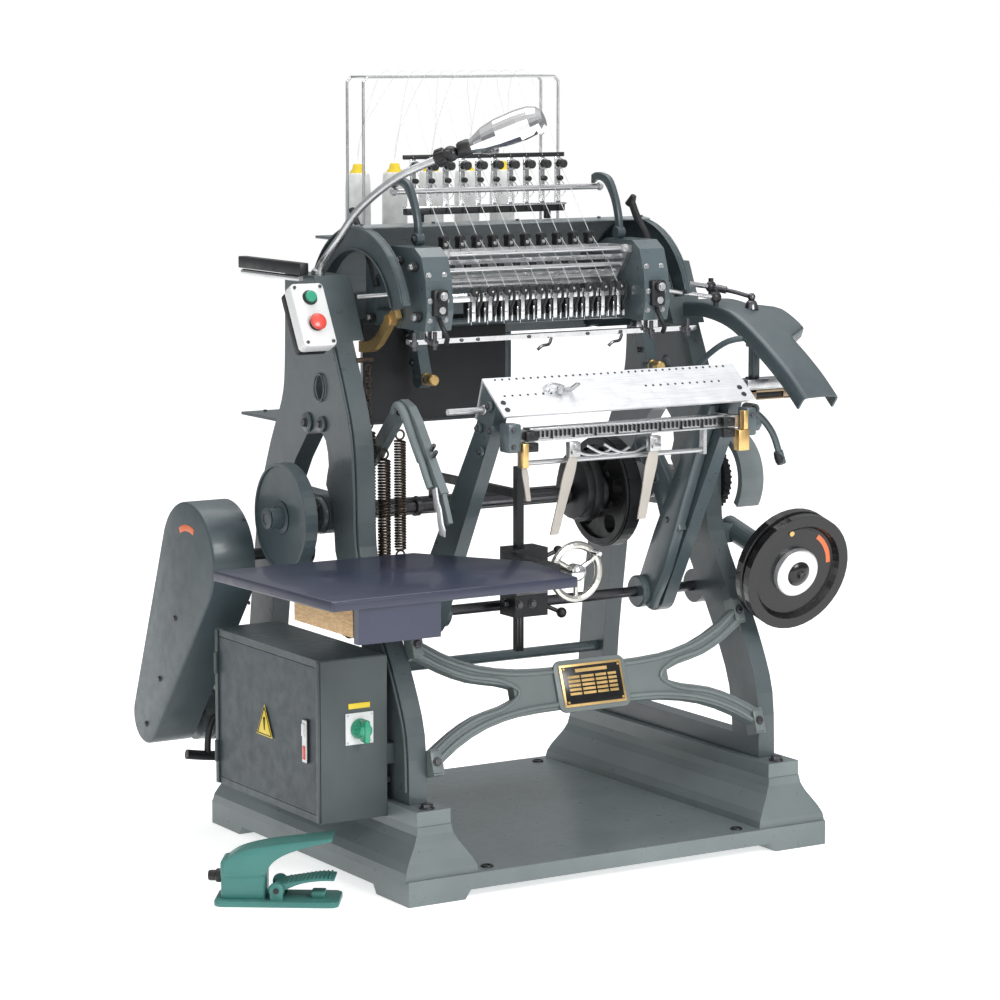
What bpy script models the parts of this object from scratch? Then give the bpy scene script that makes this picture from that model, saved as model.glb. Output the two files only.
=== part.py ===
"""Floor-standing thread book-sewing machine, built as separate castings, shafts and levers.

Machine axes: X runs left to right, Y from the operator's side to the back, Z up.
All lengths are metres. X is measured from the left edge of the base, Y from its front edge.
"""
import math

import bmesh
import bpy
from mathutils import Matrix, Vector

MODEL = "book_sewing_machine"

# Base casting
BASE_WIDTH = 1.0
BASE_DEPTH = 0.84
PLATE_TOP = 0.05
FOOT_LIFT = 0.018
PLINTH_FLARE_TOP = 0.145
PLINTH_TOP = 0.175
PLINTH_HALF = 0.038
PLINTH_SPREAD = 0.045

# Side frames
FRAME_THICK = 0.04
FRAME_OUTER = 0.06
FRAME_INNER = FRAME_OUTER + FRAME_THICK
FRAME_TOP = 1.19
HEAD_STEP = 0.025
CLEAR = 0.0003

# Turning axes, as (Y, Z) for shafts that run along X
SWING_AXIS = (0.345, 0.505)
CAM_AXIS = (0.456, 0.707)
DRIVE_AXIS = (0.675, 0.600)
MOTOR_AXIS = (0.885, 0.238)
GEAR_AXIS = (0.355, 0.735)
TRIP_AXIS = (0.400, 0.832)
TAKE_UP_AXIS = (0.315, 1.265)
BRASS_AXIS = (0.330, 1.105)
HOOD_AXIS = (0.420, 1.090)
HOOD_RADIUS = 0.2005

# Saddle, in the (Y, Z) plane
SADDLE_LEFT = 0.232
SADDLE_RIGHT = 0.830
RIDGE = (0.110, 1.003)
FRONT_SLOPE = math.radians(52.0)
BACK_SLOPE = math.radians(18.0)
FRONT_LENGTH = 0.108
BACK_LENGTH = 0.085
SADDLE_SHEET = 0.004
ARM_THICK = 0.030

# Sewing head
NEEDLE_Y = 0.268
NEEDLE_COUNT = 10
NEEDLE_FIRST = 0.305
NEEDLE_PITCH = 0.0385
CHEEK_LEFT = (0.165, 0.225)
CHEEK_RIGHT = (0.680, 0.740)

# Feed table and its carrier
TABLE_TOP = 0.648
TABLE_THICK = 0.020
COLUMN_X = 0.422
COLUMN_Y = 0.280
COLUMN_HALF = 0.008
TABLE_WHEEL = (0.464, 0.130, 0.600)

# Main handwheel, whose axis dips towards the operator
WHEEL_CENTRE = Vector((0.980, 0.100, 0.568))
WHEEL_AXIS = Vector((0.0, -math.cos(math.radians(15.0)), -math.sin(math.radians(15.0))))
WHEEL_RADIUS = 0.126

# Cabinet on the left frame
CABINET_X = (-0.106, 0.0415)
CABINET_Y = (0.155, 0.600)
CABINET_Z = (0.1465, 0.467)
CABINET_WALL = 0.004

# Start and stop box, leaning back with the head block
BOX_FACE = Vector((0.0075, 0.375, 1.120))
BOX_LEAN = math.radians(28.0)

# Lamp
LAMP_JOINT = Vector((0.238, 0.232, 1.436))
LAMP_AIM = Vector((0.675, -0.645, 0.357)).normalized()
LAMP_BALL = 0.016

# Foot switch, turned on the floor
PEDAL_CENTRE = Vector((-0.186, 0.178, 0.0))
PEDAL_TURN = math.radians(-34.3)
PEDAL_SIZE = 0.92

# The model's own origin: middle of the bounding box, on the floor
ORIGIN = Vector((0.3992, 0.3810, 0.0))

COLOURS = {
    "casting": ((0.095, 0.125, 0.135), 0.1, 0.42),
    "casting_light": ((0.20, 0.25, 0.26), 0.1, 0.40),
    "cabinet": ((0.105, 0.135, 0.145), 0.1, 0.45),
    "steel": ((0.62, 0.63, 0.64), 1.0, 0.28),
    "white_sheet": ((0.80, 0.81, 0.82), 0.6, 0.25),
    "dark_steel": ((0.025, 0.026, 0.028), 0.6, 0.5),
    "brass": ((0.56, 0.35, 0.12), 1.0, 0.3),
    "laminate": ((0.055, 0.058, 0.11), 0.0, 0.45),
    "black_gloss": ((0.012, 0.012, 0.013), 0.0, 0.2),
    "off_white": ((0.78, 0.78, 0.77), 0.0, 0.4),
    "green": ((0.03, 0.30, 0.18), 0.0, 0.35),
    "red": ((0.70, 0.09, 0.08), 0.0, 0.4),
    "teal": ((0.10, 0.36, 0.31), 0.0, 0.45),
    "chrome": ((0.75, 0.75, 0.76), 1.0, 0.12),
}


def clear_scene():
    for item in list(bpy.data.objects):
        bpy.data.objects.remove(item, do_unlink=True)


def make_material(name):
    colour, metallic, roughness = COLOURS[name]
    made = bpy.data.materials.new(name)
    made.use_nodes = True
    shader = made.node_tree.nodes["Principled BSDF"]
    shader.inputs["Base Color"].default_value = (*colour, 1.0)
    shader.inputs["Metallic"].default_value = metallic
    shader.inputs["Roughness"].default_value = roughness
    made.diffuse_color = (*colour, 1.0)
    return made


clear_scene()
MATERIALS = {name: make_material(name) for name in COLOURS}
MODEL_COLLECTION = bpy.data.collections.new(MODEL)
WORK_COLLECTION = bpy.data.collections.new("work_pieces")
bpy.context.scene.collection.children.link(MODEL_COLLECTION)
bpy.context.scene.collection.children.link(WORK_COLLECTION)
ROOT = bpy.data.objects.new("machine_origin", None)
ROOT.location = -ORIGIN
MODEL_COLLECTION.objects.link(ROOT)


# ---- pieces: each returns a closed mesh object in machine coordinates ----

def piece_from_bmesh(mesh_data):
    bmesh.ops.recalc_face_normals(mesh_data, faces=mesh_data.faces)
    if mesh_data.calc_volume(signed=True) < 0:
        bmesh.ops.reverse_faces(mesh_data, faces=mesh_data.faces)
    mesh = bpy.data.meshes.new("piece")
    mesh_data.to_mesh(mesh)
    mesh_data.free()
    piece = bpy.data.objects.new("piece", mesh)
    WORK_COLLECTION.objects.link(piece)
    return piece


def block(x_range, y_range, z_range):
    """A box between two limits on each axis."""
    size = Vector((x_range[1] - x_range[0], y_range[1] - y_range[0], z_range[1] - z_range[0]))
    middle = Vector((sum(x_range), sum(y_range), sum(z_range))) / 2
    data = bmesh.new()
    bmesh.ops.create_cube(data, size=1.0, matrix=Matrix.Translation(middle) @ Matrix.Diagonal((*size, 1.0)))
    return piece_from_bmesh(data)


def aim(direction):
    return Vector(direction).to_track_quat("Z", "Y").to_matrix().to_4x4()


def rod(start, end, radius, sides=16, end_radius=None):
    """A round bar, or a cone, from start to end."""
    start = Vector(start)
    end = Vector(end)
    data = bmesh.new()
    place = Matrix.Translation((start + end) / 2) @ aim(end - start)
    last = radius if end_radius is None else end_radius
    bmesh.ops.create_cone(data, cap_ends=True, segments=sides, radius1=radius, radius2=last,
                          depth=(end - start).length, matrix=place)
    return piece_from_bmesh(data)


def ball(centre, radius):
    data = bmesh.new()
    bmesh.ops.create_uvsphere(data, u_segments=16, v_segments=10, radius=radius,
                              matrix=Matrix.Translation(Vector(centre)))
    return piece_from_bmesh(data)


def shaft_piece(axis, limits, radius, sides=16):
    """A round bar along X on an axis given as (Y, Z)."""
    return rod((limits[0], *axis), (limits[1], *axis), radius, sides)


def evaluated_piece(source, place=Matrix.Identity(4)):
    """The evaluated, welded mesh of an object, which is then removed."""
    bpy.context.view_layer.update()
    graph = bpy.context.evaluated_depsgraph_get()
    mesh = bpy.data.meshes.new_from_object(source.evaluated_get(graph), depsgraph=graph)
    data = bmesh.new()
    data.from_mesh(mesh)
    bmesh.ops.remove_doubles(data, verts=data.verts, dist=0.00001)
    data.transform(place)
    bpy.data.objects.remove(source, do_unlink=True)
    bpy.data.meshes.remove(mesh)
    return piece_from_bmesh(data)


SLAB_TURN = {
    "X": Matrix(((0, 0, 1, 0), (1, 0, 0, 0), (0, 1, 0, 0), (0, 0, 0, 1))),
    "Y": Matrix(((1, 0, 0, 0), (0, 0, -1, 0), (0, 1, 0, 0), (0, 0, 0, 1))),
    "Z": Matrix.Identity(4),
}
SLAB_STEP = {"X": Vector((1, 0, 0)), "Y": Vector((0, 1, 0)), "Z": Vector((0, 0, 1))}


def slab(outlines, axis, limits):
    """A flat plate: the first outline is its edge, any others are holes."""
    curve = bpy.data.curves.new("outline", "CURVE")
    curve.dimensions = "2D"
    curve.fill_mode = "BOTH"
    curve.extrude = (limits[1] - limits[0]) / 2
    for outline in outlines:
        spline = curve.splines.new("POLY")
        spline.points.add(len(outline) - 1)
        spline.use_cyclic_u = True
        for point, place in zip(spline.points, outline):
            point.co = (place[0], place[1], 0.0, 1.0)
    source = bpy.data.objects.new("outline", curve)
    WORK_COLLECTION.objects.link(source)
    move = Matrix.Translation(SLAB_STEP[axis] * (limits[0] + limits[1]) / 2)
    return evaluated_piece(source, move @ SLAB_TURN[axis])


def tube(points, radius, sides_resolution=2):
    """A bent round wire or tube with closed ends."""
    curve = bpy.data.curves.new("route", "CURVE")
    curve.dimensions = "3D"
    curve.bevel_depth = radius
    curve.bevel_resolution = sides_resolution
    curve.use_fill_caps = True
    curve.render_resolution_u = 0
    spline = curve.splines.new("POLY")
    spline.points.add(len(points) - 1)
    for point, place in zip(spline.points, points):
        point.co = (*place, 1.0)
    source = bpy.data.objects.new("route", curve)
    WORK_COLLECTION.objects.link(source)
    return evaluated_piece(source)


def turned(profile, base, direction, steps=28):
    """A turned shape: profile is (radius, height) from top to bottom, starting and ending on the axis."""
    data = bmesh.new()
    verts = [data.verts.new((radius, 0.0, height)) for radius, height in profile]
    for first, second in zip(verts, verts[1:]):
        data.edges.new((first, second))
    mesh = bpy.data.meshes.new("profile")
    data.to_mesh(mesh)
    data.free()
    source = bpy.data.objects.new("profile", mesh)
    WORK_COLLECTION.objects.link(source)
    screw = source.modifiers.new("turn", "SCREW")
    screw.steps = steps
    screw.render_steps = steps
    screw.use_merge_vertices = True
    screw.merge_threshold = 0.00001
    return evaluated_piece(source, Matrix.Translation(Vector(base)) @ aim(direction))


def ring(centre, direction, radius, thickness, around=32, across=8):
    """A torus about a direction."""
    bpy.ops.mesh.primitive_torus_add(major_segments=around, minor_segments=across,
                                     major_radius=radius, minor_radius=thickness)
    made = bpy.context.active_object
    return evaluated_piece(made, Matrix.Translation(Vector(centre)) @ aim(direction))


def loft(sections):
    """A stack of level rectangles (z, x0, x1, y0, y1) joined by sloping walls."""
    data = bmesh.new()
    loops = []
    for height, x0, x1, y0, y1 in sections:
        corners = ((x0, y0), (x1, y0), (x1, y1), (x0, y1))
        loops.append([data.verts.new((x, y, height)) for x, y in corners])
    data.faces.new(loops[0])
    data.faces.new(loops[-1])
    for lower, upper in zip(loops, loops[1:]):
        for side in range(4):
            after = (side + 1) % 4
            data.faces.new((lower[side], lower[after], upper[after], upper[side]))
    return piece_from_bmesh(data)


def fuse(pieces, cuts=()):
    """One solid from several overlapping pieces, less the cuts."""
    body = pieces[0]
    for operation, group in (("UNION", pieces[1:]), ("DIFFERENCE", cuts)):
        if not group:
            continue
        tools = bpy.data.collections.new("tools")
        for item in group:
            tools.objects.link(item)
        change = body.modifiers.new(operation, "BOOLEAN")
        change.operation = operation
        change.solver = "EXACT"
        change.operand_type = "COLLECTION"
        change.collection = tools
    made = evaluated_piece(body)
    for item in [*pieces[1:], *cuts]:
        bpy.data.objects.remove(item, do_unlink=True)
    return made


def node(name, piece, material, pivot=(0.0, 0.0, 0.0)):
    """Name a piece, give it its material and put its origin on its pivot."""
    piece.name = name
    piece.data.name = name
    piece.data.transform(Matrix.Translation(-Vector(pivot)))
    piece.location = pivot
    piece.data.materials.append(MATERIALS[material])
    piece.data.shade_smooth()
    piece.data.set_sharp_from_angle(angle=math.radians(35))
    WORK_COLLECTION.objects.unlink(piece)
    MODEL_COLLECTION.objects.link(piece)
    piece.parent = ROOT
    return piece


# ---- outlines ----

def arc(centre, radius, start, end, count):
    """Points on a circle from one angle to another, in degrees."""
    angles = [math.radians(start + (end - start) * step / count) for step in range(count + 1)]
    return [(centre[0] + radius * math.cos(a), centre[1] + radius * math.sin(a)) for a in angles]


def circle(centre, radius, count=20):
    return arc(centre, radius, 0, 360, count)[:-1]


def smooth(points, steps=3):
    """A Catmull-Rom line through the points."""
    line = []
    for index in range(len(points) - 1):
        before = Vector(points[max(index - 1, 0)])
        start = Vector(points[index])
        end = Vector(points[index + 1])
        after = Vector(points[min(index + 2, len(points) - 1)])
        for step in range(steps):
            t = step / steps
            place = 0.5 * (2 * start + (end - before) * t
                           + (2 * before - 5 * start + 4 * end - after) * t ** 2
                           + (3 * start - before - 3 * end + after) * t ** 3)
            line.append(tuple(place))
    line.append(tuple(points[-1]))
    return line


def box_outline(u_range, v_range):
    return [(u_range[0], v_range[0]), (u_range[1], v_range[0]), (u_range[1], v_range[1]), (u_range[0], v_range[1])]


def belt_outline(top, top_radius, bottom, bottom_radius):
    """The outline of a tight belt round two circles in the (Y, Z) plane."""
    run = Vector(bottom) - Vector(top)
    heading = math.degrees(math.atan2(run.y, run.x))
    spread = math.degrees(math.acos((top_radius - bottom_radius) / run.length))
    upper = arc(top, top_radius, heading + spread, heading + 360 - spread, 18)
    lower = arc(bottom, bottom_radius, heading - spread, heading + spread, 8)
    return upper + lower


def mirrored(limits):
    """The same X limits on the other side of the machine."""
    return (BASE_WIDTH - limits[1], BASE_WIDTH - limits[0])


# ---- base and frames ----

def plinth_pieces(centre_x):
    front = 0.008
    back = BASE_DEPTH - 0.008
    sections = []
    rise = PLINTH_FLARE_TOP - PLATE_TOP
    for step in range(7):
        share = step / 6
        drawn_in = (1 - math.cos(math.pi * share)) / 2
        half = PLINTH_HALF + PLINTH_SPREAD * (1 - drawn_in)
        inset = 0.030 * drawn_in
        sections.append((PLATE_TOP - 0.002 + (rise + 0.002) * share, centre_x - half, centre_x + half,
                         front + inset, back - inset))
    top = block((centre_x - PLINTH_HALF, centre_x + PLINTH_HALF), (front + 0.032, back - 0.032),
                (PLINTH_FLARE_TOP - 0.002, PLINTH_TOP))
    return [loft(sections), top]


def build_base():
    centre = FRAME_OUTER + FRAME_THICK / 2
    plate = block((0, BASE_WIDTH), (0, BASE_DEPTH), (0, PLATE_TOP))
    low = -0.01
    across = [(0.12, low), (BASE_WIDTH - 0.12, low), (BASE_WIDTH - 0.14, FOOT_LIFT), (0.14, FOOT_LIFT)]
    along = [(0.12, low), (BASE_DEPTH - 0.12, low), (BASE_DEPTH - 0.14, FOOT_LIFT), (0.14, FOOT_LIFT)]
    cuts = [slab([across], "Y", (-0.01, BASE_DEPTH + 0.01)), slab([along], "X", (-0.01, BASE_WIDTH + 0.01))]
    pieces = [plate, *plinth_pieces(centre), *plinth_pieces(BASE_WIDTH - centre)]
    node("base_casting", fuse(pieces, cuts), "casting")


FRAME_FRONT = [(0.100, 0.1753), (0.108, 0.310), (0.150, 0.410), (0.205, 0.500), (0.262, 0.580),
               (0.296, 0.660), (0.302, 0.800), (0.314, 0.890), (0.352, 0.985), (0.392, 1.070), (0.447, FRAME_TOP)]
FRAME_REAR = [(0.600, FRAME_TOP), (0.605, 1.000), (0.620, 0.925), (0.670, 0.835), (0.725, 0.700),
              (0.755, 0.550), (0.785, 0.350), (0.800, 0.1753)]
OPENING_FRONT = [(0.465, 0.885), (0.432, 0.860), (0.420, 0.810), (0.432, 0.770), (0.402, 0.725),
                 (0.395, 0.640), (0.355, 0.560), (0.300, 0.480), (0.245, 0.390), (0.208, 0.310), (0.195, 0.215)]
OPENING_REAR = [(0.700, 0.215), (0.688, 0.350), (0.665, 0.500), (0.640, 0.660)]
OPENING_TOP = [(0.600, 0.750), (0.560, 0.810), (0.510, 0.865)]


def frame_outlines():
    bearing = arc(CAM_AXIS, 0.040, 270, 90, 8)
    opening = smooth(OPENING_FRONT, 2) + smooth(OPENING_REAR, 2) + bearing + OPENING_TOP
    handhole = [(y * 0.019 + 0.452, z * 0.026 + 0.965) for y, z in circle((0, 0), 1.0, 16)]
    return [smooth(FRAME_FRONT) + smooth(FRAME_REAR), opening, handhole,
            circle(CAM_AXIS, 0.0155, 16), circle(DRIVE_AXIS, 0.0137, 16)]


def build_frame(name, plate_limits, head_limits):
    plate = slab(frame_outlines(), "X", plate_limits)
    head_outline = [(0.388, 1.062), (0.447, FRAME_TOP), (0.560, FRAME_TOP), (0.560, 1.062)]
    head = slab([head_outline], "X", head_limits)
    boss = shaft_piece(SWING_AXIS, plate_limits, 0.036, 24)
    node(name, fuse([plate, head, boss]), "casting")


def build_frames():
    left = (FRAME_OUTER, FRAME_INNER)
    head = (FRAME_OUTER - 0.015, FRAME_INNER + HEAD_STEP)
    build_frame("side_frame_left", left, head)
    build_frame("side_frame_right", mirrored(left), mirrored(head))


BRACE_TOP = [(0.1003, 0.138), (0.165, 0.096), (0.240, 0.064), (0.330, 0.047), (0.430, 0.043), (0.500, 0.043)]
BRACE_FORK = [(0.1003, 0.096), (0.160, 0.060), (0.220, 0.034), (0.285, 0.020), (0.315, 0.010)]
BRACE_CENTRE = (0.135, 0.365)
BRACE_LEAN = math.radians(18.8)


def build_brace():
    half = smooth(BRACE_TOP, 2)
    top = half + [(BASE_WIDTH - x, z) for x, z in reversed(half[:-1])]
    fork = smooth(BRACE_FORK, 2)
    right_fork = [(BASE_WIDTH - x, z) for x, z in fork]
    outline = top + right_fork + [(x, -z) for x, z in reversed(right_fork)]
    outline += [(x, -z) for x, z in reversed(top)] + [(x, -z) for x, z in fork] + list(reversed(fork))
    body = slab([outline], "Y", (-0.012, 0.012))
    feet = []
    for side in (0.1003, BASE_WIDTH - 0.1253):
        for height in (0.117, -0.117):
            feet.append(block((side, side + 0.025), (-0.016, 0.016), (height - 0.026, height + 0.026)))
    made = fuse([body, *feet])
    lean = Matrix.Rotation(-BRACE_LEAN, 4, "X")
    made.data.transform(Matrix.Translation((0.0, *BRACE_CENTRE)) @ lean)
    node("front_brace", made, "casting_light")


def build_rails():
    inner = (FRAME_INNER + CLEAR, BASE_WIDTH - FRAME_INNER - CLEAR)
    node("rear_tie_rod", rod((inner[0], 0.72, 0.318), (inner[1], 0.72, 0.318), 0.012), "casting")
    node("cross_beam", block(inner, (0.600, 0.630), (0.667, 0.700)), "dark_steel")
    node("swing_shaft", rod((inner[0], *SWING_AXIS), (inner[1], *SWING_AXIS), 0.011), "dark_steel")
    heads = (FRAME_INNER + HEAD_STEP + CLEAR, BASE_WIDTH - FRAME_INNER - HEAD_STEP - CLEAR)
    node("head_beam", block(heads, (0.450, 0.500), (1.100, 1.150)), "casting")
    node("delivery_table", block(inner, (0.560, 0.880), (0.868, 0.874)), "casting_light")


# ---- saddle and its arms ----

def along_front(distance, depth=0.0):
    """A point down the saddle's front plate, and below it by depth."""
    return (RIDGE[0] - math.sin(FRONT_SLOPE) * distance + math.cos(FRONT_SLOPE) * depth,
            RIDGE[1] - math.cos(FRONT_SLOPE) * distance - math.sin(FRONT_SLOPE) * depth)


def along_back(distance, depth=0.0):
    return (RIDGE[0] + math.sin(BACK_SLOPE) * distance - math.cos(BACK_SLOPE) * depth,
            RIDGE[1] - math.cos(BACK_SLOPE) * distance - math.sin(BACK_SLOPE) * depth)


def inner_ridge(depth):
    """Where the two inner faces of the saddle meet."""
    half = (FRONT_SLOPE + BACK_SLOPE) / 2
    lean = (FRONT_SLOPE - BACK_SLOPE) / 2
    drop = depth / math.sin(half)
    return (RIDGE[0] - math.sin(lean) * drop, RIDGE[1] - math.cos(lean) * drop)


def build_saddle():
    pivot = (0.0, *SWING_AXIS)
    outline = [along_front(FRONT_LENGTH), RIDGE, along_back(BACK_LENGTH), along_back(BACK_LENGTH, SADDLE_SHEET),
               inner_ridge(SADDLE_SHEET), along_front(FRONT_LENGTH, SADDLE_SHEET)]
    node("saddle", slab([outline], "X", (SADDLE_LEFT, SADDLE_RIGHT)), "white_sheet", pivot)
    seat = SADDLE_SHEET + CLEAR
    boss = arc(SWING_AXIS, 0.044, 215, 395, 12)
    arm = boss + [along_back(0.100, seat), along_back(0.078, seat), inner_ridge(seat), along_front(0.066, seat), (0.080, 0.900)]
    hole = circle(SWING_AXIS, 0.0113, 16)
    for name, left in (("swing_arm_left", SADDLE_LEFT + 0.003), ("swing_arm_right", SADDLE_RIGHT - 0.033)):
        node(name, slab([arm, hole], "X", (left, left + ARM_THICK)), "casting", pivot)
    left_edge = SADDLE_LEFT + 0.003 + ARM_THICK + CLEAR
    right_edge = SADDLE_RIGHT - 0.033 - CLEAR
    bar = block((left_edge, right_edge), (0.022, 0.040), (0.884, 0.908))
    lugs = []
    for start, end in ((left_edge, left_edge + 0.012), (right_edge - 0.012, right_edge)):
        lugs.append(block((start, end), (0.030, 0.120), (0.884, 0.906)))
    for start in (left_edge + 0.004, 0.700):
        lugs.append(block((start, start + 0.008), (0.024, 0.038), (0.834, 0.890)))
    lugs.append(rod((left_edge + 0.006, 0.031, 0.842), (0.706, 0.031, 0.842), 0.005, 12))
    node("gauge_bar", fuse([bar, *lugs]), "steel", pivot)


# ---- sewing head ----

def needle_places():
    return [NEEDLE_FIRST + NEEDLE_PITCH * index for index in range(NEEDLE_COUNT)]


def build_head():
    cheek = [(0.215, 1.090), (0.205, 1.130), (0.212, 1.190), (0.228, 1.235), (0.255, 1.252), (0.350, 1.252),
             (0.4497, 1.215), (0.4497, 1.090)]
    window = [(0.320, 1.120), (0.410, 1.120), (0.410, 1.190), (0.320, 1.200)]
    node("head_cheek_left", slab([cheek, window], "X", CHEEK_LEFT), "casting")
    node("head_cheek_right", slab([cheek, window], "X", CHEEK_RIGHT), "casting")
    inner = (CHEEK_LEFT[1] + CLEAR, CHEEK_RIGHT[0] - CLEAR)
    bars = [rod((inner[0], 0.262, 1.236), (inner[1], 0.262, 1.236), 0.005, 12),
            rod((inner[0], 0.285, 1.202), (inner[1], 0.285, 1.202), 0.005, 12),
            rod((inner[0], 0.325, 1.176), (inner[1], 0.325, 1.176), 0.014, 16)]
    bars.append(block(inner, (0.330, 0.342), (1.232, 1.242)))
    for place in needle_places():
        bars.append(block((place - 0.028, place - 0.016), (0.328, 0.344), (1.238, 1.262)))
    for start in (inner[0], inner[1] - 0.010):
        end_plate = [(0.255, 1.228), (0.255, 1.242), (0.340, 1.242), (0.341, 1.180), (0.325, 1.160), (0.300, 1.170)]
        bars.append(slab([end_plate], "X", (start, start + 0.010)))
    node("head_bars", fuse(bars[::-1]), "steel")
    comb = [block(inner, (NEEDLE_Y - 0.007, NEEDLE_Y + 0.007), (1.138, 1.158))]
    for place in needle_places():
        comb.append(block((place - 0.008, place + 0.008), (NEEDLE_Y - 0.010, NEEDLE_Y + 0.013), (1.104, 1.148)))
        comb.append(rod((place, NEEDLE_Y, 1.098), (place, NEEDLE_Y, 1.110), 0.003, 8))
    node("needle_bar", fuse(comb), "steel", (0.0, NEEDLE_Y, 1.148))
    plate = block((0.145, 0.825), (0.232, 0.254), (1.063, 1.073))
    hangers = [block((start, start + 0.040), (0.234, 0.252), (1.068, 1.0897)) for start in (0.175, 0.690)]
    node("needle_plate", fuse([plate, *hangers]), "chrome")


def build_stop_arms():
    arm = arc((0.430, 0.974), 0.020, 180, 320, 6) + [(0.485, 1.0997), (0.452, 1.0997)]
    pieces = [rod((0.272, 0.464, 1.082), (0.852, 0.464, 1.082), 0.008, 12)]
    for start in (0.272, 0.827):
        pieces.append(slab([arm], "X", (start, start + 0.025)))
        pieces.append(rod((start + 0.006, 0.430, 0.974), (start + 0.006, 0.395, 0.974), 0.009, 12))
    node("stop_arms", fuse(pieces), "casting")
    node("sheet_panel", block((0.180, 0.520), (0.490, 0.493), (0.883, 1.0997)), "dark_steel")


def build_hood():
    end_band = arc(HOOD_AXIS, 0.197, -14, 165, 22) + arc(HOOD_AXIS, 0.150, 165, -14, 18)
    left = slab([end_band], "X", (FRAME_INNER + 0.0253, FRAME_INNER + 0.042))
    left_lug = block((FRAME_INNER + CLEAR, FRAME_INNER + 0.035), (0.572, 0.598), (1.046, 1.0615))
    node("hood_end_left", fuse([left, left_lug]), "casting_light")
    right = slab([end_band], "X", (0.800, 0.812))
    lug = block((0.806, BASE_WIDTH - FRAME_INNER - CLEAR), (0.572, 0.598), (1.046, 1.0615))
    node("hood_end_right", fuse([right, lug]), "casting_light")
    sheet = arc(HOOD_AXIS, HOOD_RADIUS, -14, 100, 20) + arc(HOOD_AXIS, HOOD_RADIUS - 0.003, 100, -14, 20)
    node("hood", slab([sheet], "X", (FRAME_INNER + 0.0253, 0.812)), "casting_light")


def build_tension_rack():
    pieces = [block((0.250, 0.634), (0.434, 0.446), (1.305, 1.323)), block((0.250, 0.634), (0.436, 0.444), (1.418, 1.428))]
    for index in range(NEEDLE_COUNT):
        place = 0.272 + NEEDLE_PITCH * index
        pieces.append(block((place - 0.004, place + 0.004), (0.437, 0.443), (1.320, 1.421)))
        pieces.append(rod((place, 0.439, 1.404), (place, 0.414, 1.404), 0.009, 10))
    for place in (0.290, 0.594):
        pieces.append(block((place - 0.006, place + 0.006), (0.435, 0.445), (1.2900, 1.310)))
    node("tension_rack", fuse(pieces), "dark_steel")


def build_take_up():
    pieces = [rod((0.205, 0.400, 1.356), (0.697, 0.400, 1.356), 0.0055, 12)]
    side = smooth([(0.400, 1.356), (0.372, 1.352), (0.345, 1.325), (0.325, 1.290), TAKE_UP_AXIS], 3)
    for place in (0.212, 0.690):
        pieces.append(tube([(place, y, z) for y, z in side], 0.0065))
        pieces.append(rod((place - 0.009, *TAKE_UP_AXIS), (place + 0.009, *TAKE_UP_AXIS), 0.011, 12))
    node("take_up_frame", fuse(pieces), "casting", (0.0, *TAKE_UP_AXIS))


def build_spool_stand():
    pieces = [block((0.212, 0.724), (0.615, 0.745), (1.245, 1.252))]
    for place in (0.300, 0.636):
        pieces.append(block((place - 0.010, place + 0.010), (0.665, 0.695), (0.8743, 1.248)))
    for index in range(5):
        place = 0.290 + 0.0885 * index
        pieces.append(rod((place, 0.700, 1.250), (place, 0.700, 1.385), 0.0265, 16, 0.024))
        pieces.append(rod((place, 0.700, 1.383), (place, 0.700, 1.407), 0.014, 12))
    node("spool_stand", fuse(pieces), "off_white")


def build_thread_frame():
    left, right = 0.228, 0.700
    front, back = 0.570, 0.638
    top = 1.582
    radius = 0.003
    bend = 0.010
    loops = []
    for y, foot in ((front, 1.2262), (back, 1.2523)):
        route = [(left, y, foot), (left, y, top - bend), (left + bend, y, top), (right - bend, y, top),
                 (right, y, top - bend), (right, y, foot)]
        loops.append(tube(route, radius))
    for x in (left + bend, right - bend):
        loops.append(rod((x, front, top), (x, back, top), radius * 0.9, 8))
    node("thread_frame", fuse(loops), "steel")


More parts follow.
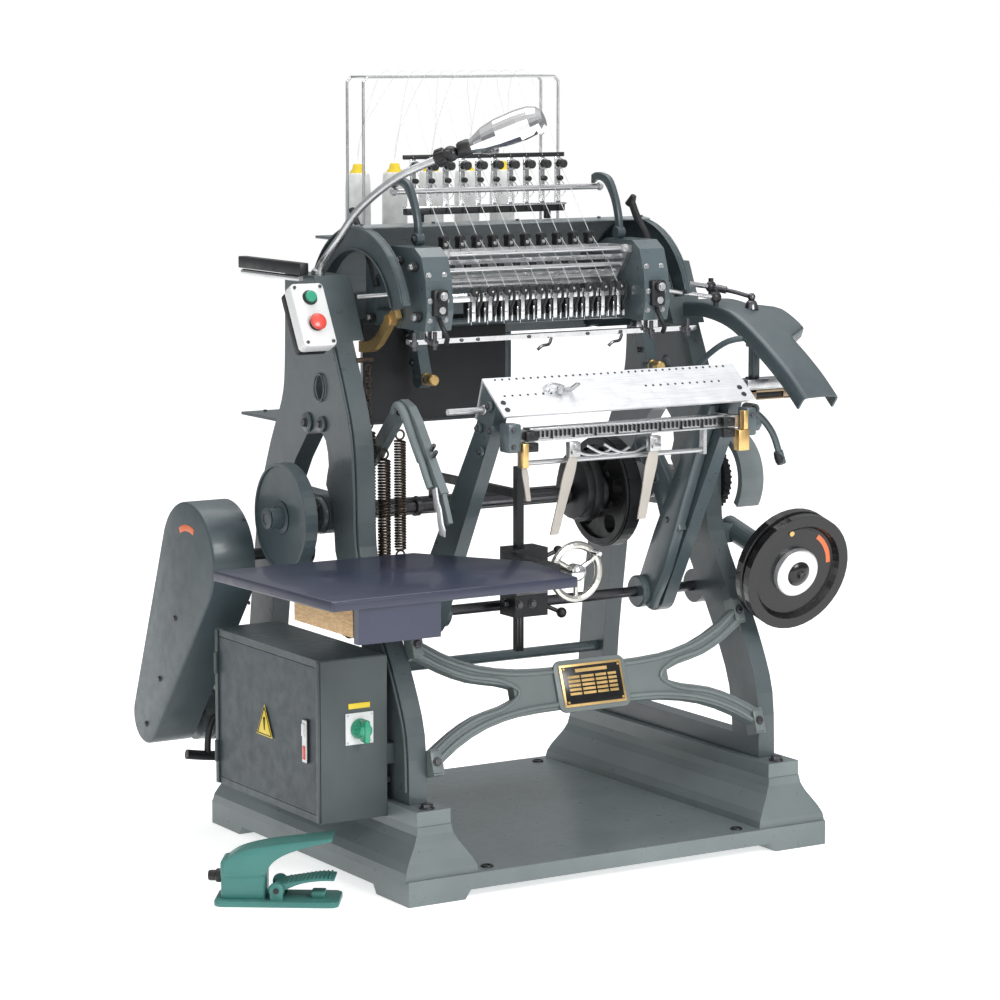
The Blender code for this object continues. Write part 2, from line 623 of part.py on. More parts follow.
def build_lamp():
    route = smooth([(0.075, 0.480, 1.1950), (0.075, 0.462, 1.215), (0.082, 0.410, 1.262), (0.105, 0.360, 1.327),
                    (0.155, 0.300, 1.388), tuple(LAMP_JOINT - LAMP_AIM * 0.034)], 3)
    foot = rod((0.075, 0.480, FRAME_TOP + CLEAR), (0.075, 0.480, FRAME_TOP + 0.010), 0.014)
    node("lamp_neck", fuse([foot, tube(route, 0.008)]), "steel")
    side = LAMP_AIM.cross(Vector((0, 0, 1))).normalized()
    pieces = [ball(LAMP_JOINT, LAMP_BALL), rod(LAMP_JOINT - LAMP_AIM * 0.030, LAMP_JOINT, 0.0115),
              rod(LAMP_JOINT, LAMP_JOINT + side * 0.032, 0.007, 10)]
    node("lamp_joint", fuse(pieces), "black_gloss")
    outside = [(0.0, 0.182), (0.016, 0.180), (0.027, 0.172), (0.034, 0.155), (0.036, 0.130), (0.034, 0.085),
               (0.028, 0.055), (0.018, 0.034), (0.013, 0.020), (0.013, 0.0), (0.0, 0.0)]
    inside = [(0.0, 0.178), (0.014, 0.176), (0.024, 0.169), (0.031, 0.154), (0.033, 0.130), (0.031, 0.087),
              (0.025, 0.058), (0.012, 0.040), (0.0, 0.036)]
    base = LAMP_JOINT + LAMP_AIM * (LAMP_BALL + CLEAR)
    shell = turned(outside, base, LAMP_AIM, 24)
    hollow = turned(inside, base, LAMP_AIM, 24)
    down = (Vector((0, 0, -1)) + LAMP_AIM * LAMP_AIM.z).normalized()
    middle = base + LAMP_AIM * 0.117 + down * 0.030
    window = block((-0.024, 0.024), (-0.046, 0.046), (-0.016, 0.016))
    frame = Matrix((LAMP_AIM.cross(down), LAMP_AIM, down)).transposed().to_4x4()
    window.data.transform(Matrix.Translation(middle) @ frame)
    node("lamp_shade", fuse([shell], [hollow, window]), "chrome", LAMP_JOINT)


# ---- drive ----

def build_drive():
    shaft = [shaft_piece(CAM_AXIS, (-0.0047, 0.962), 0.014), shaft_piece(CAM_AXIS, (0.9425, 0.960), 0.034, 32)]
    node("cam_shaft", fuse(shaft), "dark_steel", (0.0, *CAM_AXIS))
    disc = [shaft_piece(CAM_AXIS, (-0.030, -0.005), 0.110, 40), shaft_piece(CAM_AXIS, (-0.060, -0.028), 0.022, 20)]
    node("cam_disc_left", fuse(disc), "casting", (0.0, *CAM_AXIS))
    web = [circle((CAM_AXIS[0] + 0.074 * math.cos(a), CAM_AXIS[1] + 0.074 * math.sin(a)), 0.022, 10)
           for a in (0.4, 1.66, 2.92, 4.17, 5.43)]
    outline = [circle(CAM_AXIS, 0.118, 40), circle(CAM_AXIS, 0.0143, 16), *web]
    node("cam_large", slab(outline, "X", (0.735, 0.765)), "dark_steel", (0.0, *CAM_AXIS))
    pulley = [shaft_piece(DRIVE_AXIS, (-0.112, -0.078), 0.100, 32), shaft_piece(DRIVE_AXIS, (-0.080, 0.160), 0.012),
              shaft_piece(DRIVE_AXIS, (0.118, 0.150), 0.030, 20)]
    node("drive_pulley", fuse(pulley), "dark_steel", (0.0, *DRIVE_AXIS))
    small = [shaft_piece(MOTOR_AXIS, (-0.112, -0.078), 0.030, 24), shaft_piece(MOTOR_AXIS, (-0.080, -0.0203), 0.009)]
    node("motor_pulley", fuse(small), "dark_steel", (0.0, *MOTOR_AXIS))
    loop = [belt_outline(DRIVE_AXIS, 0.1055, MOTOR_AXIS, 0.0355), belt_outline(DRIVE_AXIS, 0.1013, MOTOR_AXIS, 0.0313)]
    node("drive_belt", slab(loop, "X", (-0.104, -0.086)), "black_gloss")
    bracket = block((0.050, 0.110), (0.8005, 0.870), (0.200, 0.286))
    motor = [shaft_piece(MOTOR_AXIS, (-0.020, 0.220), 0.062, 28), bracket,
             shaft_piece(MOTOR_AXIS, (0.218, 0.240), 0.050, 28)]
    node("motor", fuse(motor), "casting")
    outer = belt_outline(DRIVE_AXIS, 0.120, MOTOR_AXIS, 0.058)
    inner = belt_outline(DRIVE_AXIS, 0.118, MOTOR_AXIS, 0.056)
    guard = fuse([slab([outer], "X", (-0.130, -0.035))], [slab([inner], "X", (-0.128, -0.030))])
    node("belt_guard", guard, "casting")
    gear = [shaft_piece(GEAR_AXIS, (0.945, 0.960), 0.070, 36), shaft_piece(GEAR_AXIS, (0.9403, 0.985), 0.014)]
    node("gear_right", fuse(gear), "dark_steel", (0.0, *GEAR_AXIS))
    band = arc(GEAR_AXIS, 0.100, 80, 215, 18) + arc(GEAR_AXIS, 0.085, 215, 80, 18)
    mounts = [block((0.9403, 0.975), (GEAR_AXIS[0] - 0.012, GEAR_AXIS[0] + 0.012), (0.8215, 0.8335))]
    node("gear_guard", fuse([slab([band], "X", (0.962, 1.018)), *mounts]), "casting_light")


def build_handwheel():
    back = -WHEEL_AXIS
    profile = [(0.0, 0.034), (0.016, 0.034), (0.018, 0.028), (0.040, 0.026), (0.044, 0.012), (0.096, 0.010),
               (0.104, 0.023), (WHEEL_RADIUS, 0.023), (WHEEL_RADIUS, 0.006), (0.114, 0.0),
               (WHEEL_RADIUS, -0.006), (WHEEL_RADIUS, -0.023), (0.104, -0.023), (0.096, -0.008),
               (0.030, -0.008), (0.024, -0.028), (0.0, -0.028)]
    node("handwheel", turned(profile, WHEEL_CENTRE, WHEEL_AXIS, 40), "black_gloss", WHEEL_CENTRE)
    near = WHEEL_CENTRE + back * 0.0285
    far = WHEEL_CENTRE + back * 0.238
    bearing = [rod(near, far, 0.024, 20), rod(near, near + back * 0.030, 0.0275, 20),
               block((0.9403, 0.972), (0.292, 0.330), (0.600, 0.640))]
    node("handwheel_tube", fuse(bearing), "casting")


# ---- feed table ----

def build_table():
    column = block((COLUMN_X - COLUMN_HALF, COLUMN_X + COLUMN_HALF),
                   (COLUMN_Y - COLUMN_HALF, COLUMN_Y + COLUMN_HALF), (0.420, 0.800))
    reach = block((COLUMN_X - 0.007, COLUMN_X + 0.007), (COLUMN_Y, 0.630), (0.735, 0.752))
    drop = block((COLUMN_X - 0.007, COLUMN_X + 0.007), (0.602, 0.630), (0.7003, 0.740))
    node("column", fuse([column, reach, drop]), "dark_steel")
    loose = COLUMN_HALF + 0.0005
    hole = box_outline((COLUMN_X - loose, COLUMN_X + loose), (COLUMN_Y - loose, COLUMN_Y + loose))
    body = slab([box_outline((0.396, 0.474), (0.250, 0.310)), hole], "Z", (0.494, 0.634))
    under = TABLE_TOP - TABLE_THICK - CLEAR
    arms = [block((0.372, 0.399), (0.085, 0.260), (under - 0.028, under)),
            block((-0.180, 0.399), (0.085, 0.125), (under - 0.028, under))]
    pivot = (COLUMN_X, COLUMN_Y, 0.569)
    node("table_carrier", fuse([body, *arms]), "casting", pivot)
    outline = [(-0.262, -0.185), (0.272, -0.178), (0.302, 0.030), (0.160, 0.248), (-0.282, 0.252)]
    node("feed_table", slab([outline], "Z", (TABLE_TOP - TABLE_THICK, TABLE_TOP)), "laminate", pivot)
    apron = [block((-0.203, -0.028), (-0.172, -0.154), (0.560, TABLE_TOP - TABLE_THICK - CLEAR)),
             block((-0.200, -0.034), (-0.158, 0.075), (0.570, TABLE_TOP - TABLE_THICK - CLEAR))]
    node("table_apron", fuse(apron), "laminate", pivot)
    centre = Vector(TABLE_WHEEL)
    rim = ring(centre, (0, 1, 0), 0.0545, 0.008)
    parts = [rim, rod(centre + Vector((0, -0.010, 0)), (centre.x, 0.2497, centre.z), 0.008, 12),
             rod(centre + Vector((0, -0.014, 0)), centre + Vector((0, 0.012, 0)), 0.016, 16)]
    for index in range(3):
        angle = math.radians(30 + 120 * index)
        tip = centre + Vector((math.cos(angle), 0, math.sin(angle))) * 0.053
        parts.append(rod(centre, tip, 0.005, 8))
    node("table_handwheel", fuse(parts), "chrome", TABLE_WHEEL)


# ---- controls ----

def build_cabinet():
    wall = CABINET_WALL
    shell = block(CABINET_X, CABINET_Y, CABINET_Z)
    room = block((CABINET_X[0] + 0.020, CABINET_X[1] - wall), (CABINET_Y[0] + wall, CABINET_Y[1] - wall),
                 (CABINET_Z[0] + wall, CABINET_Z[1] - wall))
    door_y = (CABINET_Y[0] + 0.014, CABINET_Y[1] - 0.014)
    door_z = (CABINET_Z[0] + 0.014, CABINET_Z[1] - 0.014)
    mouth = block((CABINET_X[0] - 0.010, CABINET_X[0] + 0.030), door_y, door_z)
    spacer_x = (CABINET_X[1] - 0.002, FRAME_OUTER - CLEAR)
    spacers = [block(spacer_x, (y, y + 0.030), (z, z + 0.040)) for y, z in ((0.157, 0.250), (0.205, 0.390))]
    node("electric_cabinet", fuse([shell, *spacers], [room, mouth]), "cabinet")
    gap = 0.001
    door = block((CABINET_X[0], CABINET_X[0] + 0.004), (door_y[0] + gap, door_y[1] - gap), (door_z[0] + gap, door_z[1] - gap))
    node("cabinet_door", door, "cabinet", (CABINET_X[0], door_y[1], sum(CABINET_Z) / 2))
    centre = Vector((-0.018, CABINET_Y[0] - CLEAR, 0.328))
    knob = [rod(centre, centre + Vector((0, -0.016, 0)), 0.015, 20),
            block((centre.x - 0.006, centre.x + 0.006), (centre.y - 0.032, centre.y - 0.012), (centre.z - 0.024, centre.z + 0.020))]
    node("switch_knob", fuse(knob), "green", centre)


def box_frame():
    """Axes of the leaning start and stop box: across, up the face, out of the face."""
    across = Vector((1, 0, 0))
    up = Vector((0, math.sin(BOX_LEAN), math.cos(BOX_LEAN)))
    out = across.cross(up)
    return Matrix((across, up, out)).transposed().to_4x4(), up, out


def build_button_box():
    frame, up, out = box_frame()
    cover = block((-0.037, 0.0372), (-0.068, 0.068), (-0.030, 0.0))
    body = block((-0.034, 0.034), (-0.064, 0.064), (-0.052, -0.028))
    box = fuse([cover, body])
    box.data.transform(Matrix.Translation(BOX_FACE) @ frame)
    node("button_box", box, "off_white")
    for name, rise, radius, length, colour in (("start_button", 0.036, 0.012, 0.007, "green"),
                                               ("stop_button", -0.020, 0.017, 0.014, "red")):
        foot = BOX_FACE + up * rise + out * 0.0045
        node(name, rod(foot, foot + out * length, radius, 20), colour, foot)


# ---- levers and covers ----

def build_arm_cover():
    top = smooth([(0.380, 1.112), (0.300, 1.116), (0.200, 1.098), (0.100, 1.050), (0.010, 0.994), (-0.052, 0.945)], 3)

    def strip(line, drop):
        return line + [(y, z - drop) for y, z in reversed(line)]

    ear_line = [point for point in top if 0.110 < point[0] < 0.250]
    pieces = [slab([strip(top, 0.005)], "X", (0.895, 0.985)), slab([strip(top, 0.034)], "X", (0.895, 0.900)),
              slab([strip(top, 0.034)], "X", (0.980, 0.985)), slab([strip(ear_line, 0.005)], "X", (0.983, 1.038)),
              slab([strip(ear_line, 0.026)], "X", (1.033, 1.038)),
              block((0.904, 0.922), (0.136, 0.154), (0.9653, 1.075)), block((0.896, 0.924), (0.134, 0.156), (1.040, 1.058))]
    node("arm_cover", fuse(pieces), "casting")
    slide = [block((0.885, 0.999), (0.127, 0.163), (0.922, 0.946)), block((0.882, 1.002), (0.122, 0.168), (0.944, 0.965))]
    node("slide_block", fuse(slide), "brass")
    pivot = Vector((0.902, 0.145, 0.902))
    route = smooth([(0.902, 0.145, 0.902), (0.930, 0.140, 0.880), (0.950, 0.132, 0.850), (0.962, 0.128, 0.815),
                    (0.970, 0.128, 0.790)], 3)
    handle = [tube(route, 0.0075), rod((0.902, 0.130, 0.902), (0.902, 0.160, 0.902), 0.013, 14),
              rod((0.962, 0.128, 0.812), (0.971, 0.128, 0.786), 0.010, 12)]
    node("lever_handle", fuse(handle), "casting", pivot)


def thick_line(points, width):
    """The outline of a bar of a given width along a bent centre line."""
    left = []
    right = []
    for index, point in enumerate(points):
        before = Vector(points[max(index - 1, 0)])
        after = Vector(points[min(index + 1, len(points) - 1)])
        side = (after - before).normalized()
        normal = Vector((-side.y, side.x)) * width / 2
        left.append(tuple(Vector(point) + normal))
        right.append(tuple(Vector(point) - normal))
    return left + right[::-1]


def build_levers():
    bend = smooth([(0.440, 0.808), TRIP_AXIS, (0.330, 0.900), (0.285, 0.936), (0.240, 0.905), (0.185, 0.830),
                   (0.140, 0.772)], 2)
    lever = [slab([thick_line(bend, 0.030)], "X", (0.150, 0.168)), shaft_piece(TRIP_AXIS, (0.1003, 0.172), 0.013, 14),
             slab([thick_line([(0.140, 0.776), (0.115, 0.720)], 0.020)], "X", (0.154, 0.164))]
    node("trip_lever", fuse(lever), "casting_light", (0.0, *TRIP_AXIS))
    shape = smooth([(0.300, 1.122), BRASS_AXIS, (0.375, 1.062), (0.412, 1.046), (0.450, 1.044)], 2)
    brass = [slab([thick_line(shape, 0.022)], "X", (0.147, 0.160)), shaft_piece(BRASS_AXIS, (0.144, 0.1647), 0.012, 14)]
    node("brass_lever", fuse(brass), "brass", (0.0, *BRASS_AXIS))


def build_pedal():
    place = Matrix.Translation(PEDAL_CENTRE) @ Matrix.Rotation(PEDAL_TURN, 4, "Z") @ Matrix.Scale(PEDAL_SIZE, 4)
    roof = [(-0.118, 0.060), (-0.118, 0.098), (-0.070, 0.118), (0.030, 0.136), (0.118, 0.146), (0.118, 0.139),
            (0.060, 0.124), (0.010, 0.112), (-0.020, 0.092), (-0.024, 0.060)]
    foot = [(-0.130, -0.044), (-0.112, -0.056), (0.115, -0.056), (0.132, -0.044), (0.132, 0.044), (0.115, 0.056),
            (-0.112, 0.056), (-0.130, 0.044)]
    pieces = [slab([foot], "Z", (0.0, 0.014)), block((-0.118, -0.024), (-0.036, 0.036), (0.010, 0.075)),
              slab([roof], "Y", (-0.040, 0.040)), rod((-0.114, 0.0, 0.055), (-0.140, 0.0, 0.055), 0.012, 14)]
    for side in (-0.0435, 0.0435):
        pieces.append(block((-0.012, 0.012), (side - 0.003, side + 0.003), (0.010, 0.048)))
    housing = fuse(pieces)
    housing.data.transform(place)
    node("pedal_base", housing, "teal")
    tread = [(-0.010, 0.034), (0.004, 0.044), (0.090, 0.060), (0.122, 0.058), (0.122, 0.053), (0.090, 0.054),
             (0.010, 0.028), (-0.006, 0.024)]
    tread_parts = [slab([tread], "Y", (-0.036, 0.036)), rod((0.0, -0.040, 0.034), (0.0, 0.040, 0.034), 0.010, 14)]
    treadle = fuse(tread_parts)
    treadle.data.transform(place)
    node("pedal_treadle", treadle, "teal", place @ Vector((0.0, 0.0, 0.034)))


build_base()
build_frames()
build_brace()
build_rails()
build_saddle()
build_head()
build_stop_arms()
build_hood()
build_tension_rack()
build_take_up()
build_spool_stand()
build_thread_frame()
build_lamp()
build_drive()
build_handwheel()
build_table()
build_cabinet()
build_button_box()
build_arm_cover()
build_levers()
build_pedal()
bpy.data.collections.remove(WORK_COLLECTION)
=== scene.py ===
import math

import bmesh
import bpy
from mathutils import Matrix, Vector


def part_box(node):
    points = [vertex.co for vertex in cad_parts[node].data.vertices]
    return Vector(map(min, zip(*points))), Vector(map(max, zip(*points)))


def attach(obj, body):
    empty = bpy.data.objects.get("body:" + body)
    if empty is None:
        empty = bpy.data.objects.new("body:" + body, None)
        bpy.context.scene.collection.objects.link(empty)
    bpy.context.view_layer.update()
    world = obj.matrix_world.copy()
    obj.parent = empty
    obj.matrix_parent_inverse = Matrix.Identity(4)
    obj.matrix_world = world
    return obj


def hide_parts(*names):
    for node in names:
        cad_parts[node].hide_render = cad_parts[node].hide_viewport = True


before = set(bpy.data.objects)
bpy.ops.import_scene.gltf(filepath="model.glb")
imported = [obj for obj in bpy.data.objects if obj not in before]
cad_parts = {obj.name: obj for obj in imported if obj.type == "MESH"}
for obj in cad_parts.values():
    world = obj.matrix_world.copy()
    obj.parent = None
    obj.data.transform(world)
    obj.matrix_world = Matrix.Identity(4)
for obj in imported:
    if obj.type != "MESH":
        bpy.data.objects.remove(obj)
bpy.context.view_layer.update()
machineCorner = Vector(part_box("base_casting")[0])  # front left floor corner of the base casting


def at(x, y, z):  # metres right of, behind and above the base casting's front left corner
    return machineCorner + Vector((x, y, z))


# ---- shader groups, shared by many finishes ----

def newGroup(name, inputs, outputs):
    group = bpy.data.node_groups.new(name, "ShaderNodeTree")
    for label, kind, value in inputs:
        socket = group.interface.new_socket(name=label, in_out="INPUT", socket_type=kind)
        socket.default_value = value
    for label, kind in outputs:
        group.interface.new_socket(name=label, in_out="OUTPUT", socket_type=kind)
    start = group.nodes.new("NodeGroupInput")
    end = group.nodes.new("NodeGroupOutput")
    return group, start, end


def addNode(tree, kind, **settings):
    node = tree.nodes.new(kind)
    for key, value in settings.items():
        if key.startswith("in_"):
            node.inputs[key[3:].replace("_", " ")].default_value = value
        else:
            setattr(node, key, value)
    return node


def mathNode(tree, operation, first, second):
    node = addNode(tree, "ShaderNodeMath", operation=operation)
    for index, value in enumerate((first, second)):
        if isinstance(value, (int, float)):
            node.inputs[index].default_value = value
        else:
            tree.links.new(value, node.inputs[index])
    return node.outputs[0]


def mixColour(tree, factor, first, second, blend="MIX"):
    node = addNode(tree, "ShaderNodeMix", data_type="RGBA", blend_type=blend)
    for socket, value in ((node.inputs[0], factor), (node.inputs[6], first), (node.inputs[7], second)):
        if isinstance(value, (int, float)):
            socket.default_value = value
        elif isinstance(value, tuple):
            socket.default_value = (*value, 1.0)
        else:
            tree.links.new(value, socket)
    return node.outputs[2]


def spread(tree, value, low, high, fromLow=0.3, fromHigh=0.7):
    node = addNode(tree, "ShaderNodeMapRange")
    node.inputs["From Min"].default_value = fromLow
    node.inputs["From Max"].default_value = fromHigh
    for label, limit in (("To Min", low), ("To Max", high)):
        if isinstance(limit, (int, float)):
            node.inputs[label].default_value = limit
        else:
            tree.links.new(limit, node.inputs[label])
    tree.links.new(value, node.inputs["Value"])
    return node.outputs[0]


def makeWornCoat():  # paint or enamel over a casting: mottle, grain, dust on top faces, rubbed edges
    group, start, end = newGroup("wornCoat", [
        ("Color", "NodeSocketColor", (0.1, 0.1, 0.1, 1)), ("Worn Color", "NodeSocketColor", (0.3, 0.3, 0.3, 1)),
        ("Dust Color", "NodeSocketColor", (0.4, 0.42, 0.42, 1)), ("Mottle", "NodeSocketFloat", 0.3),
        ("Roughness", "NodeSocketFloat", 0.4), ("Grain", "NodeSocketFloat", 0.2),
        ("Grain Scale", "NodeSocketFloat", 260.0), ("Wear", "NodeSocketFloat", 0.4),
                                              ("Dust", "NodeSocketFloat", 0.2),
        ("Edge Round", "NodeSocketFloat", 0.0015)],
        [("Color", "NodeSocketColor"), ("Roughness", "NodeSocketFloat"), ("Normal", "NodeSocketVector")])
    link = group.links.new
    coords = addNode(group, "ShaderNodeTexCoord")
    broad = addNode(group, "ShaderNodeTexNoise", in_Scale=7.0, in_Detail=5.0)
    streak = addNode(group, "ShaderNodeTexNoise", in_Scale=38.0, in_Detail=6.0, in_Roughness=0.65)
    fine = addNode(group, "ShaderNodeTexNoise", in_Detail=3.0)
    for noise in (broad, streak, fine):
        link(coords.outputs["Object"], noise.inputs["Vector"])
    link(start.outputs["Grain Scale"], fine.inputs["Scale"])
    geometry = addNode(group, "ShaderNodeNewGeometry")
    rounded = addNode(group, "ShaderNodeBevel", samples=4)
    link(start.outputs["Edge Round"], rounded.inputs["Radius"])
    tone = spread(group, broad.outputs[0], 0.78, 1.22)
    toned = mixColour(group, start.outputs["Mottle"], start.outputs["Color"],
                      mixColour(group, 1.0, start.outputs["Color"], tone, "MULTIPLY"))
    facing = addNode(group, "ShaderNodeSeparateXYZ")
    link(geometry.outputs["Normal"], facing.inputs[0])
    upward = spread(group, facing.outputs[2], 0.0, 1.0, 0.35, 0.95)
    dusty = mathNode(group, "MULTIPLY", upward, mathNode(group, "MULTIPLY", start.outputs["Dust"],
                     spread(group, streak.outputs[0], 0.4, 1.0)))
    dusted = mixColour(group, dusty, toned, start.outputs["Dust Color"])
    parting = addNode(group, "ShaderNodeVectorMath", operation="DOT_PRODUCT")
    link(rounded.outputs[0], parting.inputs[0])
    link(geometry.outputs["True Normal"], parting.inputs[1])
    edge = spread(group, parting.outputs["Value"], 1.0, 0.0, 0.8, 0.985)
    rubbed = mathNode(group, "MULTIPLY", mathNode(group, "MULTIPLY", edge, start.outputs["Wear"]),
                      spread(group, streak.outputs[0], 0.1, 1.0, 0.4, 0.6))
    link(mixColour(group, rubbed, dusted, start.outputs["Worn Color"]), end.inputs["Color"])
    link(mathNode(group, "MULTIPLY", start.outputs["Roughness"], spread(group, streak.outputs[0], 0.8, 1.25)),
         end.inputs["Roughness"])
    bump = addNode(group, "ShaderNodeBump", in_Distance=0.0006)
    link(start.outputs["Grain"], bump.inputs["Strength"])
    link(mathNode(group, "ADD", fine.outputs[0], mathNode(group, "MULTIPLY", streak.outputs[0], 0.2)),
         bump.inputs["Height"])
    link(rounded.outputs[0], bump.inputs["Normal"])
    link(bump.outputs[0], end.inputs["Normal"])
    return group


def makeToolMarks():  # bare metal: brushed lines along one axis, oil film and stains
    group, start, end = newGroup("toolMarks", [
        ("Color", "NodeSocketColor", (0.6, 0.6, 0.6, 1)),
                                               ("Stain Color", "NodeSocketColor", (0.25, 0.22, 0.18, 1)),
        ("Stretch", "NodeSocketVector", (1.0, 1.0, 1.0)), ("Roughness", "NodeSocketFloat", 0.3),
        ("Stain", "NodeSocketFloat", 0.25), ("Brush", "NodeSocketFloat", 0.15)],
        [("Color", "NodeSocketColor"), ("Roughness", "NodeSocketFloat"), ("Normal", "NodeSocketVector")])
    link = group.links.new
    coords = addNode(group, "ShaderNodeTexCoord")
    stretch = addNode(group, "ShaderNodeVectorMath", operation="MULTIPLY")
    link(coords.outputs["Object"], stretch.inputs[0])
    link(start.outputs["Stretch"], stretch.inputs[1])
    lines = addNode(group, "ShaderNodeTexNoise", in_Scale=420.0, in_Detail=4.0)
    film = addNode(group, "ShaderNodeTexNoise", in_Scale=26.0, in_Detail=6.0, in_Roughness=0.6)
    link(stretch.outputs[0], lines.inputs["Vector"])
    link(coords.outputs["Object"], film.inputs["Vector"])
    dirty = mathNode(group, "MULTIPLY", spread(group, film.outputs[0], 0.0, 1.0, 0.45, 0.75),
                     start.outputs["Stain"])
    tone = spread(group, lines.outputs[0], 0.88, 1.1)
    link(mixColour(group, dirty, mixColour(group, 1.0, start.outputs["Color"], tone, "MULTIPLY"),
                   start.outputs["Stain Color"]), end.inputs["Color"])
    link(mathNode(group, "MULTIPLY", start.outputs["Roughness"],
                  mathNode(group, "ADD", spread(group, film.outputs[0], 0.75, 1.3),
                           mathNode(group, "MULTIPLY", dirty, 0.6))), end.inputs["Roughness"])
    rounded = addNode(group, "ShaderNodeBevel", samples=4, in_Radius=0.0006)
    bump = addNode(group, "ShaderNodeBump", in_Distance=0.0002)
    link(start.outputs["Brush"], bump.inputs["Strength"])
    link(lines.outputs[0], bump.inputs["Height"])
    link(rounded.outputs[0], bump.inputs["Normal"])
    link(bump.outputs[0], end.inputs["Normal"])
    return group


wornCoat = makeWornCoat()
toolMarks = makeToolMarks()


def newMaterial(name, metallic=0.0, coat=0.0):
    material = bpy.data.materials.new(name)
    material.use_nodes = True
    shader = material.node_tree.nodes["Principled BSDF"]
    shader.inputs["Metallic"].default_value = metallic
    shader.inputs["Coat Weight"].default_value = coat
    shader.inputs["Coat Roughness"].default_value = 0.1
    return material, material.node_tree, shader


def placeGroup(tree, shader, group, values):
    node = addNode(tree, "ShaderNodeGroup", node_tree=group)
    for label, value in values.items():
        node.inputs[label].default_value = (*value, 1.0) if "Color" in label else value
    tree.links.new(node.outputs["Color"], shader.inputs["Base Color"])
    tree.links.new(node.outputs["Roughness"], shader.inputs["Roughness"])
    tree.links.new(node.outputs["Normal"], shader.inputs["Normal"])
    return node


coatLabels = ("Color", "Worn Color", "Dust Color", "Mottle", "Roughness", "Grain", "Grain Scale", "Wear",
              "Dust")
coatRows = {}  # the labels above, then metallic and coat
for name, colour, roughness, grain, wear, coat in (  # slate paints share worn edges, dust and mottle
        ("castPaint", (0.072, 0.098, 0.108), 0.32, 0.08, 0.3, 0.25),
        ("hoodPaint", (0.27, 0.3, 0.31), 0.32, 0.06, 0.2, 0.2),
        ("basePaint", (0.15, 0.18, 0.182), 0.32, 0.06, 0.2, 0.1),
        ("framePaint", (0.07, 0.089, 0.095), 0.32, 0.08, 0.25, 0.15),
        ("bracePaint", (0.135, 0.16, 0.158), 0.42, 0.08, 0.3, 0.1),
        ("leverPaint", (0.17, 0.2, 0.205), 0.38, 0.08, 0.3, 0.1),
        ("coverPaint", (0.04, 0.059, 0.067), 0.4, 0.05, 0.3, 0.15),
        ("cabinetPaint", (0.062, 0.078, 0.08), 0.46, 0.06, 0.15, 0.0),
        ("doorPaint", (0.04, 0.054, 0.062), 0.48, 0.05, 0.15, 0.0)):
    coatRows[name] = (colour, (0.2, 0.23, 0.24), (0.16, 0.19, 0.2), 0.5, roughness, grain, 240.0, wear, 0.3,
                      0.0, coat)
coatRows.update({
    "darkIron": ((0.022, 0.023, 0.025), (0.16, 0.15, 0.14), (0.06, 0.06, 0.06),
                 0.7, 0.42, 0.3, 180.0, 0.6, 0.3, 0.5, 0.0),
    "blackEnamel": ((0.004, 0.004, 0.0045), (0.05, 0.05, 0.05), (0.02, 0.02, 0.02),
                    0.3, 0.22, 0.01, 260.0, 0.2, 0.05, 0.0, 0.05),
    "blackPlastic": ((0.012, 0.012, 0.013), (0.06, 0.06, 0.06), (0.05, 0.05, 0.05),
                     0.3, 0.38, 0.12, 700.0, 0.3, 0.15, 0.0, 0.0),
    "offWhite": ((0.72, 0.73, 0.73), (0.6, 0.6, 0.58), (0.6, 0.6, 0.58), 0.15, 0.35, 0.05, 900.0, 0.1, 0.05,
                 0.0, 0.2),
    "greenPlastic": ((0.02, 0.3, 0.17), (0.1, 0.4, 0.3), (0.1, 0.35, 0.25), 0.2, 0.3, 0.05, 260.0, 0.1, 0.05,
                     0.0, 0.3),
    "redPlastic": ((0.68, 0.075, 0.055), (0.7, 0.2, 0.15), (0.6, 0.2, 0.15), 0.2, 0.3, 0.05, 260.0, 0.1, 0.05,
                   0.0, 0.3),
    "yellowPlastic": ((0.78, 0.58, 0.03), (0.8, 0.7, 0.3), (0.7, 0.6, 0.3), 0.2, 0.4, 0.05, 260.0, 0.1, 0.05,
                      0.0, 0.0),
    "tealPaint": ((0.042, 0.185, 0.165), (0.25, 0.45, 0.4), (0.22, 0.42, 0.37),
                  0.4, 0.4, 0.2, 320.0, 0.35, 0.2, 0.0, 0.15),
    "orangeMark": ((0.72, 0.16, 0.05), (0.6, 0.3, 0.2), (0.5, 0.3, 0.2), 0.3, 0.4, 0.02, 260.0, 0.1, 0.1, 0.0,
                   0.0),
    "stripCard": ((0.44, 0.41, 0.37), (0.6, 0.55, 0.5), (0.5, 0.5, 0.5), 0.6, 0.5, 0.15, 260.0, 0.4, 0.1, 0.3,
                  0.0),
    "beltRubber": ((0.015, 0.015, 0.015), (0.05, 0.05, 0.05), (0.08, 0.08, 0.08),
                   0.5, 0.8, 0.4, 260.0, 0.3, 0.3, 0.0, 0.0),
    "edgeBand": ((0.03, 0.034, 0.06), (0.1, 0.11, 0.16), (0.08, 0.09, 0.12), 0.3, 0.4, 0.1, 260.0, 0.3, 0.1,
                 0.0, 0.1),
})
metalLabels = ("Color", "Stain Color", "Stretch", "Roughness", "Stain", "Brush")
